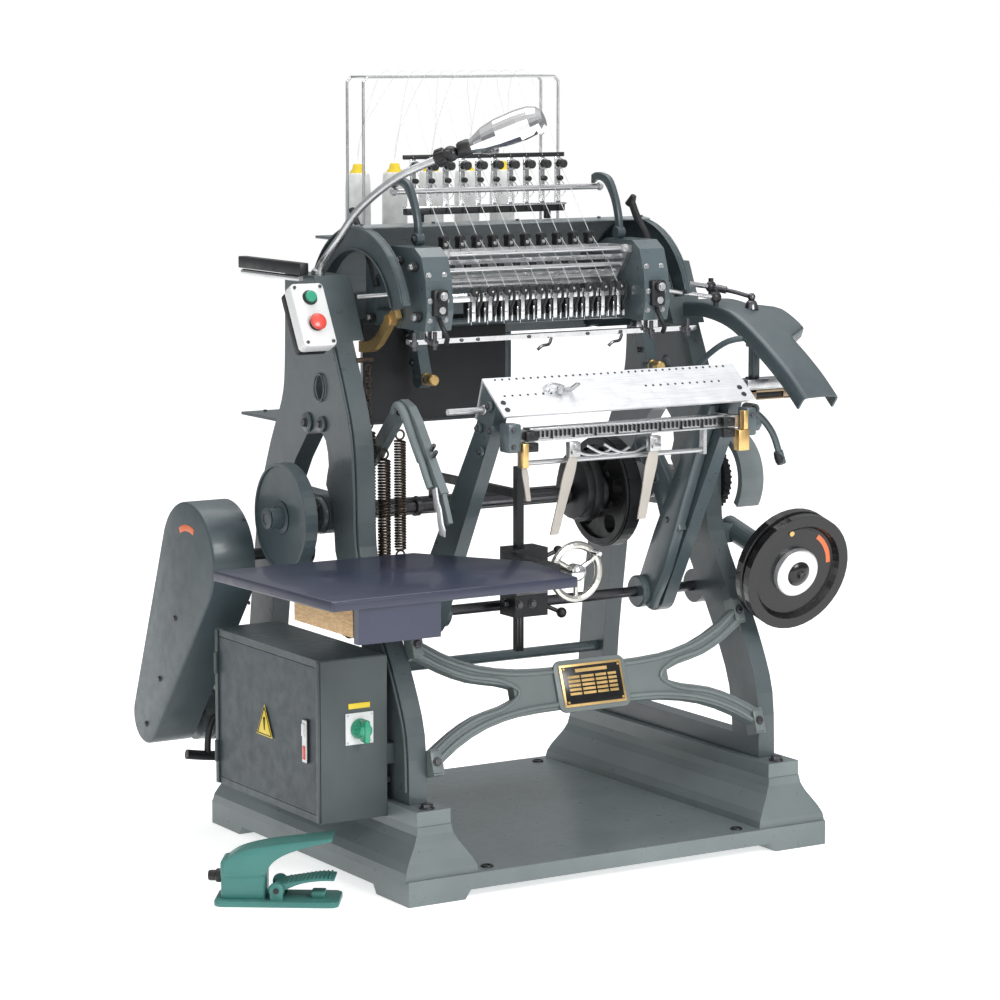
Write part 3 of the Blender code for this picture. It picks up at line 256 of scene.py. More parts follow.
metalRows = {  # the labels above, then metallic
    "steel": ((0.56, 0.57, 0.58), (0.22, 0.2, 0.18), (0.06, 1.0, 1.0), 0.3, 0.35, 0.25, 1.0),
    "brightSteel": ((0.74, 0.75, 0.76), (0.4, 0.38, 0.36), (1.0, 1.0, 0.08), 0.2, 0.2, 0.15, 1.0),
    "chromePlate": ((0.8, 0.8, 0.81), (0.45, 0.44, 0.42), (1.0, 1.0, 1.0), 0.09, 0.12, 0.04, 1.0),
    "springIron": ((0.1, 0.075, 0.055), (0.02, 0.015, 0.012), (1.0, 1.0, 1.0), 0.42, 0.6, 0.2, 0.8),
    "wheelSteel": ((0.62, 0.61, 0.57), (0.3, 0.28, 0.25), (1.0, 1.0, 1.0), 0.3, 0.3, 0.1, 1.0),
    "saddleSheet": ((0.78, 0.79, 0.81), (0.6, 0.6, 0.6), (0.03, 1.0, 1.0), 0.42, 0.2, 0.12, 0.75),
    "brassMetal": ((0.78, 0.53, 0.22), (0.36, 0.22, 0.1), (1.0, 1.0, 0.1), 0.36, 0.3, 0.2, 1.0),
    "bronzeMetal": ((0.34, 0.26, 0.18), (0.1, 0.08, 0.06), (0.05, 1.0, 1.0), 0.34, 0.5, 0.3, 1.0),
    "oiledSteel": ((0.13, 0.13, 0.14), (0.04, 0.035, 0.03), (0.05, 1.0, 1.0), 0.33, 0.4, 0.2, 1.0),
}
finishes = {}
for group, labels, rows in ((wornCoat, coatLabels, coatRows), (toolMarks, metalLabels, metalRows)):
    for name, row in rows.items():
        finishes[name], tree, shader = newMaterial(name, *row[len(labels):])
        placeGroup(tree, shader, group, dict(zip(labels, row)))
finishes["blackPlastic"].node_tree.nodes["Group"].inputs["Edge Round"].default_value = 0.0006


def makeLaminate():  # dark blue laminate: close speckle under a satin film
    material, tree, shader = newMaterial("laminate", coat=0.25)
    coords = addNode(tree, "ShaderNodeTexCoord")
    speck = addNode(tree, "ShaderNodeTexNoise", in_Scale=900.0, in_Detail=2.0)
    broad = addNode(tree, "ShaderNodeTexNoise", in_Scale=5.0, in_Detail=4.0)
    for noise in (speck, broad):
        tree.links.new(coords.outputs["Object"], noise.inputs["Vector"])
    base = mixColour(tree, spread(tree, broad.outputs[0], 0.0, 1.0), (0.02, 0.025, 0.052),
                     (0.028, 0.034, 0.066))
    full = mixColour(tree, spread(tree, speck.outputs[0], 0.0, 0.35, 0.5, 0.75), base, (0.08, 0.09, 0.14))
    tree.links.new(full, shader.inputs["Base Color"])
    tree.links.new(spread(tree, broad.outputs[0], 0.3, 0.42), shader.inputs["Roughness"])
    bump = addNode(tree, "ShaderNodeBump", in_Strength=0.06, in_Distance=0.0003)
    tree.links.new(speck.outputs[0], bump.inputs["Height"])
    tree.links.new(bump.outputs[0], shader.inputs["Normal"])
    return material


def makeChipboard():  # raw edge of pressed wood flakes
    material, tree, shader = newMaterial("chipboard")
    coords = addNode(tree, "ShaderNodeTexCoord")
    squeeze = addNode(tree, "ShaderNodeMapping")
    squeeze.inputs["Scale"].default_value = (1.0, 0.35, 1.4)
    tree.links.new(coords.outputs["Object"], squeeze.inputs["Vector"])
    flakes = addNode(tree, "ShaderNodeTexVoronoi", in_Scale=330.0)
    grain = addNode(tree, "ShaderNodeTexNoise", in_Scale=160.0, in_Detail=6.0)
    for texture in (flakes, grain):
        tree.links.new(squeeze.outputs[0], texture.inputs["Vector"])
    shade = addNode(tree, "ShaderNodeSeparateColor")
    tree.links.new(flakes.outputs["Color"], shade.inputs[0])
    flaked = mixColour(tree, shade.outputs[0], (0.62, 0.42, 0.22), (0.4, 0.24, 0.11))
    tree.links.new(mixColour(tree, spread(tree, grain.outputs[0], 0.0, 0.5), flaked, (0.72, 0.53, 0.31)),
                   shader.inputs["Base Color"])
    shader.inputs["Roughness"].default_value = 0.8
    bump = addNode(tree, "ShaderNodeBump", in_Strength=0.4, in_Distance=0.0006)
    tree.links.new(flakes.outputs["Distance"], bump.inputs["Height"])
    tree.links.new(bump.outputs[0], shader.inputs["Normal"])
    return material


def makeWoundThread():  # white thread laid round a cone in level turns
    material, tree, shader = newMaterial("woundThread")
    coords = addNode(tree, "ShaderNodeTexCoord")
    turns = addNode(tree, "ShaderNodeTexWave", wave_type="BANDS", bands_direction="Z",
                    in_Scale=190.0, in_Distortion=1.5, in_Detail=2.0)
    fuzz = addNode(tree, "ShaderNodeTexNoise", in_Scale=60.0, in_Detail=5.0)
    for texture in (turns, fuzz):
        tree.links.new(coords.outputs["Object"], texture.inputs["Vector"])
    tree.links.new(mixColour(tree, spread(tree, fuzz.outputs[0], 0.0, 1.0), (0.8, 0.81, 0.79),
                             (0.66, 0.67, 0.66)), shader.inputs["Base Color"])
    shader.inputs["Roughness"].default_value = 0.75
    shader.inputs["Sheen Weight"].default_value = 0.3
    bump = addNode(tree, "ShaderNodeBump", in_Strength=0.5, in_Distance=0.0008)
    tree.links.new(turns.outputs["Fac"], bump.inputs["Height"])
    tree.links.new(bump.outputs[0], shader.inputs["Normal"])
    return material


def makeMilkGlass():
    material, tree, shader = newMaterial("milkGlass")
    coords = addNode(tree, "ShaderNodeTexCoord")
    cloud = addNode(tree, "ShaderNodeTexNoise", in_Scale=40.0)
    tree.links.new(coords.outputs["Object"], cloud.inputs["Vector"])
    tree.links.new(mixColour(tree, cloud.outputs[0], (0.86, 0.86, 0.84), (0.93, 0.93, 0.92)),
                   shader.inputs["Base Color"])
    tree.links.new(spread(tree, cloud.outputs[0], 0.2, 0.35), shader.inputs["Roughness"])
    return material


for makeFinish in (makeLaminate, makeChipboard, makeWoundThread, makeMilkGlass):
    madeFinish = makeFinish()
    finishes[madeFinish.name] = madeFinish
print("materials made")


# ---- shaping tools ----

toFront, toBack, toLeft, toRight, toTop = (0, -1, 0), (0, 1, 0), (-1, 0, 0), (1, 0, 0), (0, 0, 1)


def aimed(start, direction):
    return Matrix.Translation(Vector(start)) @ Vector(direction).to_track_quat("Z", "Y").to_matrix().to_4x4()


def blanks(count):
    return [bmesh.new() for _ in range(count)]


def pour(target, source):  # adds one bmesh to another
    mesh = bpy.data.meshes.new("part")
    source.to_mesh(mesh)
    source.free()
    target.from_mesh(mesh)
    bpy.data.meshes.remove(mesh)


def soften(bm, edges, width, segments=2):
    if width > 0:
        bmesh.ops.bevel(bm, geom=edges, offset=width, offset_type="OFFSET", segments=segments, profile=0.5,
                        affect="EDGES", material=-1, clamp_overlap=True)


def addBox(bm, low, high, bevel=0.001, turn=Matrix.Identity(4)):
    low = Vector(low)
    high = Vector(high)
    part = bmesh.new()
    size = Matrix.Diagonal((*(high - low), 1.0))
    bmesh.ops.create_cube(part, size=1.0, matrix=Matrix.Translation((low + high) / 2) @ size)
    soften(part, part.edges[:], bevel)
    bmesh.ops.transform(part, matrix=turn, verts=part.verts)
    pour(bm, part)


def addRod(bm, start, end, radius, endRadius=None, sides=20, bevel=0.0006):
    start = Vector(start)
    end = Vector(end)
    part = bmesh.new()
    last = radius if endRadius is None else endRadius
    bmesh.ops.create_cone(part, cap_ends=True, segments=sides, radius1=radius, radius2=last,
                          depth=(end - start).length, matrix=aimed((start + end) / 2, end - start))
    soften(part, [e for e in part.edges if any(len(f.verts) > 4 for f in e.link_faces)], bevel, 1)
    pour(bm, part)


def addBall(bm, centre, radius, squash=(1, 1, 1), around=16):
    part = bmesh.new()
    bmesh.ops.create_uvsphere(part, u_segments=around, v_segments=around // 2, radius=radius,
                              matrix=Matrix.Translation(Vector(centre)) @ Matrix.Diagonal((*squash, 1.0)))
    pour(bm, part)


def addTurned(bm, profile, base, direction, steps=32):  # profile: (radius, height) pairs
    part = bmesh.new()
    verts = [part.verts.new((radius, 0.0, height)) for radius, height in profile]
    edges = [part.edges.new(pair) for pair in zip(verts, verts[1:])]
    bmesh.ops.spin(part, geom=verts + edges, cent=(0, 0, 0), axis=(0, 0, 1), angle=math.tau, steps=steps,
                   use_merge=True)
    bmesh.ops.remove_doubles(part, verts=part.verts, dist=0.00001)
    bmesh.ops.transform(part, matrix=aimed(base, direction), verts=part.verts)
    bmesh.ops.recalc_face_normals(part, faces=part.faces)
    pour(bm, part)


def addRing(bm, centre, direction, radius, thickness, around=32, across=10):
    circle = [(radius + thickness * math.cos(math.tau * k / across),
               thickness * math.sin(math.tau * k / across)) for k in range(across + 1)]
    addTurned(bm, circle, centre, direction, around)


def pushEdges(part, edges):  # extrudes open edges in place; returns the new verts and edges
    made = bmesh.ops.extrude_edge_only(part, edges=edges)["geom"]
    verts = [g for g in made if isinstance(g, bmesh.types.BMVert)]
    return verts, [g for g in made if isinstance(g, bmesh.types.BMEdge) and all(v in verts for v in g.verts)]


def addTube(bm, route, radius, sides=10, radii=None):
    part = bmesh.new()
    points = [Vector(p) for p in route]
    last = len(points) - 1
    headings = [(points[min(i + 1, last)] - points[max(i - 1, 0)]).normalized() for i in range(last + 1)]
    turn = headings[0].to_track_quat("Z", "Y")
    place = Matrix.Translation(points[0]) @ turn.to_matrix().to_4x4()
    first = radii[0] if radii else radius
    bmesh.ops.create_circle(part, cap_ends=True, radius=first, segments=sides, matrix=place)
    edges = part.edges[:]
    for i in range(1, last + 1):
        turn = headings[i - 1].rotation_difference(headings[i]) @ turn
        grow = radii[i] / radii[i - 1] if radii else 1.0
        after = Matrix.Translation(points[i]) @ turn.to_matrix().to_4x4()
        verts, edges = pushEdges(part, edges)
        bmesh.ops.transform(part, matrix=after @ Matrix.Scale(grow, 4) @ place.inverted(), verts=verts)
        place = after
    bmesh.ops.contextual_create(part, geom=edges)
    bmesh.ops.recalc_face_normals(part, faces=part.faces)
    pour(bm, part)


def flow(points, steps=4):  # a smooth line through the points
    line = []
    for i in range(len(points) - 1):
        a, b, c, d = (Vector(points[max(i - 1, 0)]), Vector(points[i]), Vector(points[i + 1]),
                      Vector(points[min(i + 2, len(points) - 1)]))
        for step in range(steps):
            t = step / steps
            line.append(0.5 * (2 * b + (c - a) * t + (2 * a - 5 * b + 4 * c - d) * t ** 2
                               + (3 * b - a - 3 * c + d) * t ** 3))
    line.append(Vector(points[-1]))
    return line


def addSpring(bm, start, end, coilRadius, wireRadius, turns, perTurn=10):
    place = aimed(start, Vector(end) - Vector(start))
    height = (Vector(end) - Vector(start)).length
    count = int(turns * perTurn)
    route = [place @ Vector((coilRadius * math.cos(math.tau * k / perTurn),
                             coilRadius * math.sin(math.tau * k / perTurn),
                             height * k / count)) for k in range(count + 1)]
    addTube(bm, route, wireRadius, 6)


planes = {"X": ((0, 1, 0), (0, 0, 1), (1, 0, 0)), "Y": ((1, 0, 0), (0, 0, 1), (0, 1, 0)),
          "Z": ((1, 0, 0), (0, 1, 0), (0, 0, 1))}


def addPlate(bm, outline, axis, start, thickness, bevel=0.0008, turn=Matrix.Identity(4)):
    across, up, out = (Vector(v) for v in planes[axis])
    part = bmesh.new()
    verts = [part.verts.new(across * u + up * v + out * start) for u, v in outline]
    face = part.faces.new(verts)
    made = bmesh.ops.extrude_face_region(part, geom=[face])["geom"]
    moved = [g for g in made if isinstance(g, bmesh.types.BMVert)]
    bmesh.ops.translate(part, vec=out * thickness, verts=moved)
    bmesh.ops.recalc_face_normals(part, faces=part.faces)
    rims = [e for e in part.edges if any(len(f.verts) > 4 for f in e.link_faces) or len(outline) < 5]
    soften(part, rims, bevel)
    bmesh.ops.transform(part, matrix=turn, verts=part.verts)
    pour(bm, part)


def addBolt(bm, centre, direction, size=0.006, sides=6, washer=True):
    direction = Vector(direction).normalized()
    centre = Vector(centre)
    if washer:
        addRod(bm, centre, centre + direction * size * 0.25, size * 1.25, sides=20, bevel=0.0003)
    addRod(bm, centre, centre + direction * size * 0.85, size, sides=sides, bevel=size * 0.12)


def addBoltCircle(bm, x, centre, radius, count, direction, size, phase=0.0):  # bolts on a face across X
    for k in range(count):
        angle = math.tau * k / count + phase
        addBolt(bm, (x, centre[0] + radius * math.cos(angle), centre[1] + radius * math.sin(angle)), direction,
                size)


def arcPoints(centre, radius, start, end, count):
    angles = [math.radians(start + (end - start) * k / count) for k in range(count + 1)]
    return [(centre[0] + radius * math.cos(a), centre[1] + radius * math.sin(a)) for a in angles]


def finishPiece(name, bm, material, body="machine", replaced=(), smoothAngle=35):
    bm.verts.ensure_lookup_table()
    bmesh.ops.translate(bm, vec=machineCorner, verts=bm.verts)
    mesh = bpy.data.meshes.new(name)
    bm.to_mesh(mesh)
    bm.free()
    mesh.materials.append(finishes[material])
    mesh.shade_smooth()
    mesh.set_sharp_from_angle(angle=math.radians(smoothAngle))
    piece = bpy.data.objects.new(name, mesh)
    bpy.context.scene.collection.objects.link(piece)
    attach(piece, body)
    if replaced:
        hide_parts(*replaced)


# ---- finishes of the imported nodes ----

nodeFinish = {
    "basePaint": "base_casting",
    "framePaint": "side_frame_left side_frame_right head_beam motor",
    "bracePaint": "front_brace",
    "castPaint": "rear_tie_rod head_cheek_left head_cheek_right stop_arms spool_stand handwheel_tube "
                 "swing_arm_left swing_arm_right lever_handle",
    "darkIron": "cross_beam sheet_panel tension_rack column table_carrier cam_large drive_pulley motor_pulley "
                "gear_right",
    "oiledSteel": "swing_shaft cam_shaft",
    "coverPaint": "delivery_table hood_end_left hood_end_right belt_guard arm_cover take_up_frame "
                  "cam_disc_left",
    "steel": "head_bars thread_frame gauge_bar",
    "chromePlate": "needle_plate lamp_shade",
    "hoodPaint": "hood",
    "brightSteel": "lamp_neck needle_bar",
    "blackPlastic": "lamp_joint",
    "beltRubber": "drive_belt",
    "leverPaint": "gear_guard trip_lever",
    "cabinetPaint": "electric_cabinet",
    "offWhite": "button_box",
    "tealPaint": "pedal_base pedal_treadle",
    "saddleSheet": "saddle",
    "laminate": "feed_table table_apron",
    "wheelSteel": "table_handwheel",
    "blackEnamel": "handwheel",
    "doorPaint": "cabinet_door",
    "greenPlastic": "switch_knob start_button",
    "redPlastic": "stop_button",
    "bronzeMetal": "slide_block",
    "brassMetal": "brass_lever",
}
for finish, nodeNames in nodeFinish.items():
    for nodeName in nodeNames.split():
        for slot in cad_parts[nodeName].material_slots:
            slot.material = finishes[finish]
print("packed nodes finished")


# ---- sewing head ----

headNumbers = {"firstHolder": 0.305, "firstTension": 0.272, "holderPitch": 0.0385, "holders": 10,
               "holderY": 0.268}
firstPlaces = (headNumbers["firstHolder"], headNumbers["firstTension"])
holderPlaces, rackPlaces = ([first + headNumbers["holderPitch"] * k for k in range(headNumbers["holders"])]
                            for first in firstPlaces)


def makeNeedleBar():
    y = headNumbers["holderY"]
    bright, dark, knobs = blanks(3)
    addBox(bright, (0.226, y - 0.006, 1.14), (0.679, y + 0.007, 1.157), 0.001)
    for x in holderPlaces:
        addBox(bright, (x - 0.0045, y - 0.0125, 1.101), (x + 0.0045, y - 0.0075, 1.166), 0.0008)
        addBox(dark, (x - 0.011, y - 0.008, 1.108), (x + 0.011, y + 0.012, 1.139), 0.002)
        hook = flow([(x + 0.013, y - 0.01, 1.168), (x + 0.0155, y - 0.015, 1.158),
                     (x + 0.0145, y - 0.016, 1.14), (x + 0.01, y - 0.013, 1.124), (x + 0.012, y - 0.01, 1.11)])
        addTube(knobs, hook, 0.0032, 8)
        addTurned(knobs, [(0, 0.01), (0.007, 0.0095), (0.0098, 0.007), (0.0098, 0.002), (0.007, 0), (0, 0)],
                  (x, y - 0.012, 1.16), toFront, 20)
        addBolt(bright, (x, y - 0.0215, 1.16), toFront, 0.0024, 6, False)
        for shift in (-0.0125, 0.0125):
            addBox(bright, (x + shift - 0.0016, y - 0.0132, 1.099), (x + shift + 0.0016, y - 0.008, 1.128),
                   0.0006)
        addBolt(bright, (x - 0.001, y - 0.0125, 1.119), toFront, 0.0028, 16, False)
        addRod(bright, (x, y - 0.002, 1.11), (x, y - 0.002, 1.093), 0.0017, 0.0006, 8, 0)
        addRod(bright, (x + 0.0085, y + 0.002, 1.112), (x + 0.0085, y + 0.002, 1.098), 0.0012, 0.0007, 8, 0)
    finishPiece("needleRail", bright, "brightSteel", "needles", ["needle_bar"])
    finishPiece("needleClamps", dark, "darkIron", "needles")
    finishPiece("needleKnobs", knobs, "blackPlastic", "needles")


def makeHeadTrim():
    metal, caps = blanks(2)
    addSpring(metal, (0.232, 0.274, 1.219), (0.672, 0.274, 1.219), 0.0042, 0.0008, 130, 8)
    addSpring(metal, (0.232, 0.3, 1.188), (0.672, 0.3, 1.188), 0.0036, 0.0007, 120, 8)
    for x in holderPlaces:
        addRod(metal, (x - 0.022, 0.326, 1.2515), (x - 0.022, 0.3475, 1.2515), 0.0042, sides=14)
    for x in (0.239, 0.666):
        addRod(metal, (x, 0.25, 1.236), (x, 0.262, 1.236), 0.0085)
        addBolt(metal, (x, 0.25, 1.236), toFront, 0.005)
    finishPiece("headSprings", metal, "steel")
    for x in holderPlaces:
        addBox(caps, (x - 0.0295, 0.3265, 1.242), (x - 0.0145, 0.3455, 1.2635), 0.002)
        addRod(caps, (x - 0.022, 0.325, 1.262), (x - 0.022, 0.347, 1.262), 0.0075, sides=16)
    for x in rackPlaces:
        addBox(caps, (x + 0.006, 0.306, 1.196), (x + 0.02, 0.316, 1.212), 0.0015)
    finishPiece("guideCaps", caps, "blackPlastic")


def cheekDetail(side, x0, x1):
    dark, bright = blanks(2)
    face = x0 - 0.0005 if side == "Left" else x1 + 0.0005
    out = toLeft if side == "Left" else toRight
    for y, z, r in ((0.232, 1.118, 0.011), (0.245, 1.215, 0.01), (0.3, 1.225, 0.009), (0.415, 1.105, 0.009)):
        addRod(dark, (face, y, z), (face + out[0] * 0.01, y, z), r)
        addBolt(bright, (face + out[0] * 0.01, y, z), out, r * 0.6)
    middle = (x0 + x1) / 2
    for x in (x0 + 0.012, x1 - 0.012):
        for z, y in ((1.112, 0.211), (1.15, 0.2075), (1.2, 0.2155)):
            addBolt(bright, (x, y, z), (0, -1, 0.05), 0.005)
    addBox(dark, (middle - 0.016, 0.196, 1.12), (middle + 0.016, 0.211, 1.172), 0.003)
    addRod(dark, (middle, 0.186, 1.16), (middle, 0.2, 1.16), 0.012)
    addBolt(bright, (middle, 0.186, 1.16), toFront, 0.007)
    addRod(bright, (middle, 0.19, 1.132), (middle, 0.2, 1.132), 0.0075)
    addTube(dark, flow([(middle, 0.205, 1.115), (middle, 0.192, 1.098), (middle + 0.008, 0.188, 1.08),
                        (middle + 0.01, 0.196, 1.066)]), 0.005)
    finishPiece("cheekKnobs" + side, dark, "darkIron")
    finishPiece("cheekBolts" + side, bright, "steel")


def makeHeadRods():
    rods, slim, ends = blanks(3)
    addTube(rods, flow([(0.172, 0.515, 1.317), (0.171, 0.47, 1.262), (0.17, 0.428, 1.205),
                        (0.17, 0.409, 1.168)], 5), 0.007)
    addTube(rods, flow([(0.745, 0.352, 1.326), (0.747, 0.332, 1.292), (0.75, 0.308, 1.262),
                        (0.75, 0.295, 1.24)], 5), 0.008)
    addRod(rods, (0.744, 0.356, 1.318), (0.746, 0.344, 1.338), 0.011, 0.006)
    addBox(rods, (0.7405, 0.28, 1.212), (0.762, 0.318, 1.244), 0.003)
    addBox(rods, (0.02, 0.455, 1.192), (0.04, 0.725, 1.216), 0.002)
    addRod(rods, (0.04, 0.505, 1.2005), (0.0595, 0.505, 1.2005), 0.008)
    finishPiece("headRods", rods, "darkIron")
    addRod(slim, (0.03, 0.47, 1.184), (0.03, 0.722, 1.184), 0.006)
    addRod(slim, (0.741, 0.3, 1.17), (0.905, 0.29, 1.146), 0.0055)
    addRod(slim, (0.741, 0.262, 1.15), (0.88, 0.236, 1.128), 0.0045)
    addRod(slim, (0.11, 0.38, 1.15), (0.1645, 0.3, 1.16), 0.0045)
    finishPiece("linkRods", slim, "steel")
    for place in ((0.77, 0.297, 1.166), (0.905, 0.29, 1.146), (0.88, 0.236, 1.128)):
        addBall(ends, place, 0.0125, (1, 0.8, 1))
        addRod(ends, Vector(place) + Vector((0, 0, -0.018)), Vector(place) + Vector((0, 0, 0.018)), 0.0055)
    finishPiece("rodEnds", ends, "blackPlastic")


def makePins():
    pins, plate = blanks(2)
    for x in (0.2845, 0.8395):
        addTurned(pins, [(0, 0.034), (0.009, 0.034), (0.0115, 0.031), (0.0115, 0.006), (0.013, 0.004),
                         (0.013, 0.0), (0, 0)], (x + 0.0005, 0.4095, 0.974), toFront, 24)
    finishPiece("brassPins", pins, "brassMetal")
    for x in (0.262, 0.3, 0.42, 0.56, 0.64):
        addBolt(plate, (x, 0.2318, 1.068), toFront, 0.0035, 14, False)
    for x in (0.15, 0.196, 0.71, 0.8):
        addRod(plate, (x, 0.224, 1.052), (x, 0.224, 1.088), 0.0045)
        addBox(plate, (x - 0.006, 0.219, 1.06), (x + 0.006, 0.233, 1.07), 0.001)
    for x in (0.47, 0.64):
        hook = flow([(x, 0.228, 1.063), (x - 0.012, 0.218, 1.052), (x - 0.03, 0.214, 1.05),
                     (x - 0.04, 0.216, 1.042)])
        addTube(plate, hook, 0.0032)
    finishPiece("plateScrews", plate, "oiledSteel")


# ---- tension rack, threads and spools ----

def makeTensionRack():
    strips, knobs, bars = blanks(3)
    addBox(bars, (0.25, 0.4365, 1.418), (0.634, 0.4435, 1.427), 0.001)
    addBox(bars, (0.252, 0.43, 1.306), (0.632, 0.446, 1.32), 0.0015)
    addBox(strips, (0.25, 0.4275, 1.3195), (0.634, 0.444, 1.3232), 0.0008)
    for x in (0.29, 0.594):
        addBox(bars, (x - 0.006, 0.435, 1.2905), (x + 0.006, 0.445, 1.312), 0.001)
    for x in rackPlaces:
        addBox(strips, (x - 0.0065, 0.4375, 1.318), (x + 0.0065, 0.441, 1.424), 0.0008)
        addRod(strips, (x, 0.438, 1.404), (x, 0.417, 1.404), 0.003, sides=10)
        for gap in (0.0, 0.004):
            addRod(strips, (x, 0.434 - gap, 1.404), (x, 0.4325 - gap, 1.404), 0.0115, sides=24, bevel=0.0004)
        addTurned(knobs, [(0, 0.0125), (0.006, 0.0125), (0.0088, 0.01), (0.0088, 0.003), (0.0065, 0.0), (0, 0)],
                  (x, 0.4235, 1.404), toFront, 16)
        addTurned(knobs, [(0, 0.008), (0.0045, 0.0075), (0.0058, 0.004), (0.0045, 0.0), (0, 0)],
                  (x + 0.004, 0.4365, 1.374), toFront, 14)
        addSpring(strips, (x - 0.002, 0.43, 1.33), (x - 0.002, 0.43, 1.362), 0.0028, 0.0006, 9, 8)
        addTube(strips, flow([(x + 0.006, 0.439, 1.37), (x + 0.011, 0.432, 1.362), (x + 0.009, 0.424, 1.346),
                              (x + 0.002, 0.428, 1.336)]), 0.0009, 6)
        addRing(strips, (x, 0.44, 1.423), (1, 0, 0.3), 0.0032, 0.0008, 12, 6)
        addBox(knobs, (x - 0.004, 0.4265, 1.308), (x + 0.004, 0.4305, 1.32), 0.0008)
    finishPiece("tensionStrips", strips, "brightSteel", replaced=["tension_rack"])
    finishPiece("tensionKnobs", knobs, "blackPlastic")
    finishPiece("tensionBars", bars, "darkIron")


def makeThreads():
    threads = bmesh.new()
    for k, (x, guide) in enumerate(zip(rackPlaces, holderPlaces)):
        rise = [(x, 0.424, 1.396), (x + 0.004, 0.401, 1.3635), (guide - 0.022, 0.337, 1.27)]
        addTube(threads, rise, 0.0007, 5)
        addTube(threads, [(guide - 0.022, 0.33, 1.264), (guide - 0.006, 0.286, 1.209), (guide, 0.262, 1.168)],
                0.0006, 5)
        spool = 0.29 + 0.0885 * (k // 2)
        addTube(threads, flow([(spool, 0.7, 1.409), (spool, 0.68, 1.47), (0.305 + 0.036 * k, 0.6385, 1.578),
                               (0.3 + 0.037 * k, 0.57, 1.5855), (x, 0.47, 1.475), (x, 0.441, 1.428)], 3),
                0.00035, 5)
    finishPiece("threads", threads, "woundThread")


def makeSpools():
    stand, cones, caps = blanks(3)
    addBox(stand, (0.212, 0.615, 1.2453), (0.724, 0.745, 1.2515), 0.001)
    for x in (0.3, 0.636):
        addBox(stand, (x - 0.01, 0.665, 0.8745), (x + 0.01, 0.695, 1.2455), 0.0015)
        addBox(stand, (x - 0.024, 0.655, 0.8743), (x + 0.024, 0.705, 0.882), 0.001)
    finishPiece("spoolShelf", stand, "castPaint", replaced=["spool_stand"])
    for k in range(5):
        x = 0.29 + 0.0885 * k
        addTurned(cones, [(0, 0.13), (0.0215, 0.13), (0.0245, 0.126), (0.0265, 0.1), (0.0268, 0.018),
                          (0.0255, 0.008), (0.022, 0.004), (0, 0.004)], (x, 0.7, 1.252), toTop, 36)
        addTurned(caps, [(0, 0.149), (0.008, 0.1485), (0.0105, 0.1455), (0.0115, 0.138), (0.0165, 0.1325),
                         (0.018, 0.1285), (0.018, 0.126), (0, 0.126)], (x, 0.7, 1.252), toTop, 28)
        addTurned(caps, [(0, 0.005), (0.024, 0.005), (0.0265, 0.003), (0.0265, 0.0), (0, 0.0)],
                  (x, 0.7, 1.2518), toTop, 28)
    finishPiece("threadCones", cones, "woundThread")
    finishPiece("coneCaps", caps, "yellowPlastic")


# ---- lamp ----

lampNumbers = {"joint": (0.238, 0.232, 1.436), "aim": (0.675, -0.645, 0.357), "ball": 0.016}


def makeLamp():
    joint = Vector(lampNumbers["joint"])
    aim = Vector(lampNumbers["aim"]).normalized()
    neck, collar, bulb, trim = blanks(4)
    line = flow([(0.075, 0.48, 1.195), (0.075, 0.462, 1.215), (0.082, 0.41, 1.262), (0.105, 0.36, 1.327),
                 (0.155, 0.3, 1.388), joint - aim * 0.03], 30)
    addTube(neck, line, 0.0075, 14, [0.0078 if k % 2 else 0.0084 for k in range(len(line))])
    addTurned(neck, [(0, 0.012), (0.01, 0.012), (0.014, 0.008), (0.014, 0.0), (0, 0)], (0.075, 0.48, 1.1903),
              toTop)
    finishPiece("lampGooseneck", neck, "steel", replaced=["lamp_neck"])
    addBall(collar, joint, 0.0158, around=24)
    addTurned(collar, [(0.0, 0.024), (0.0145, 0.024), (0.0165, 0.021), (0.0165, 0.004), (0.012, 0.0), (0, 0)],
              joint - aim * 0.034, aim, 28)
    for k in range(12):
        turn = aimed(joint, aim) @ Matrix.Rotation(math.tau * k / 12, 4, "Z")
        addBox(collar, (0.0155, -0.002, -0.029), (0.0185, 0.002, -0.012), 0.0006, turn)
    side = aim.cross(Vector(toTop)).normalized()
    addTurned(collar, [(0, 0.034), (0.006, 0.034), (0.0085, 0.031), (0.0085, 0.022), (0.005, 0.019),
                       (0.005, 0.01), (0, 0.01)], joint, side, 16)
    finishPiece("lampCollar", collar, "blackPlastic", replaced=["lamp_joint"])
    base = joint + aim * (lampNumbers["ball"] + 0.0003)
    addTurned(bulb, [(0, 0.16), (0.01, 0.158), (0.019, 0.148), (0.0225, 0.134), (0.019, 0.115), (0.012, 0.095),
                     (0.011, 0.06), (0, 0.06)], base, aim, 28)
    finishPiece("lampBulb", bulb, "milkGlass", "lamp_head")
    addTurned(trim, [(0.0, 0.026), (0.015, 0.026), (0.0165, 0.022), (0.0165, 0.006), (0.014, 0.001),
                     (0.0, 0.001)], base, aim, 28)
    finishPiece("lampSocket", trim, "blackPlastic", "lamp_head")


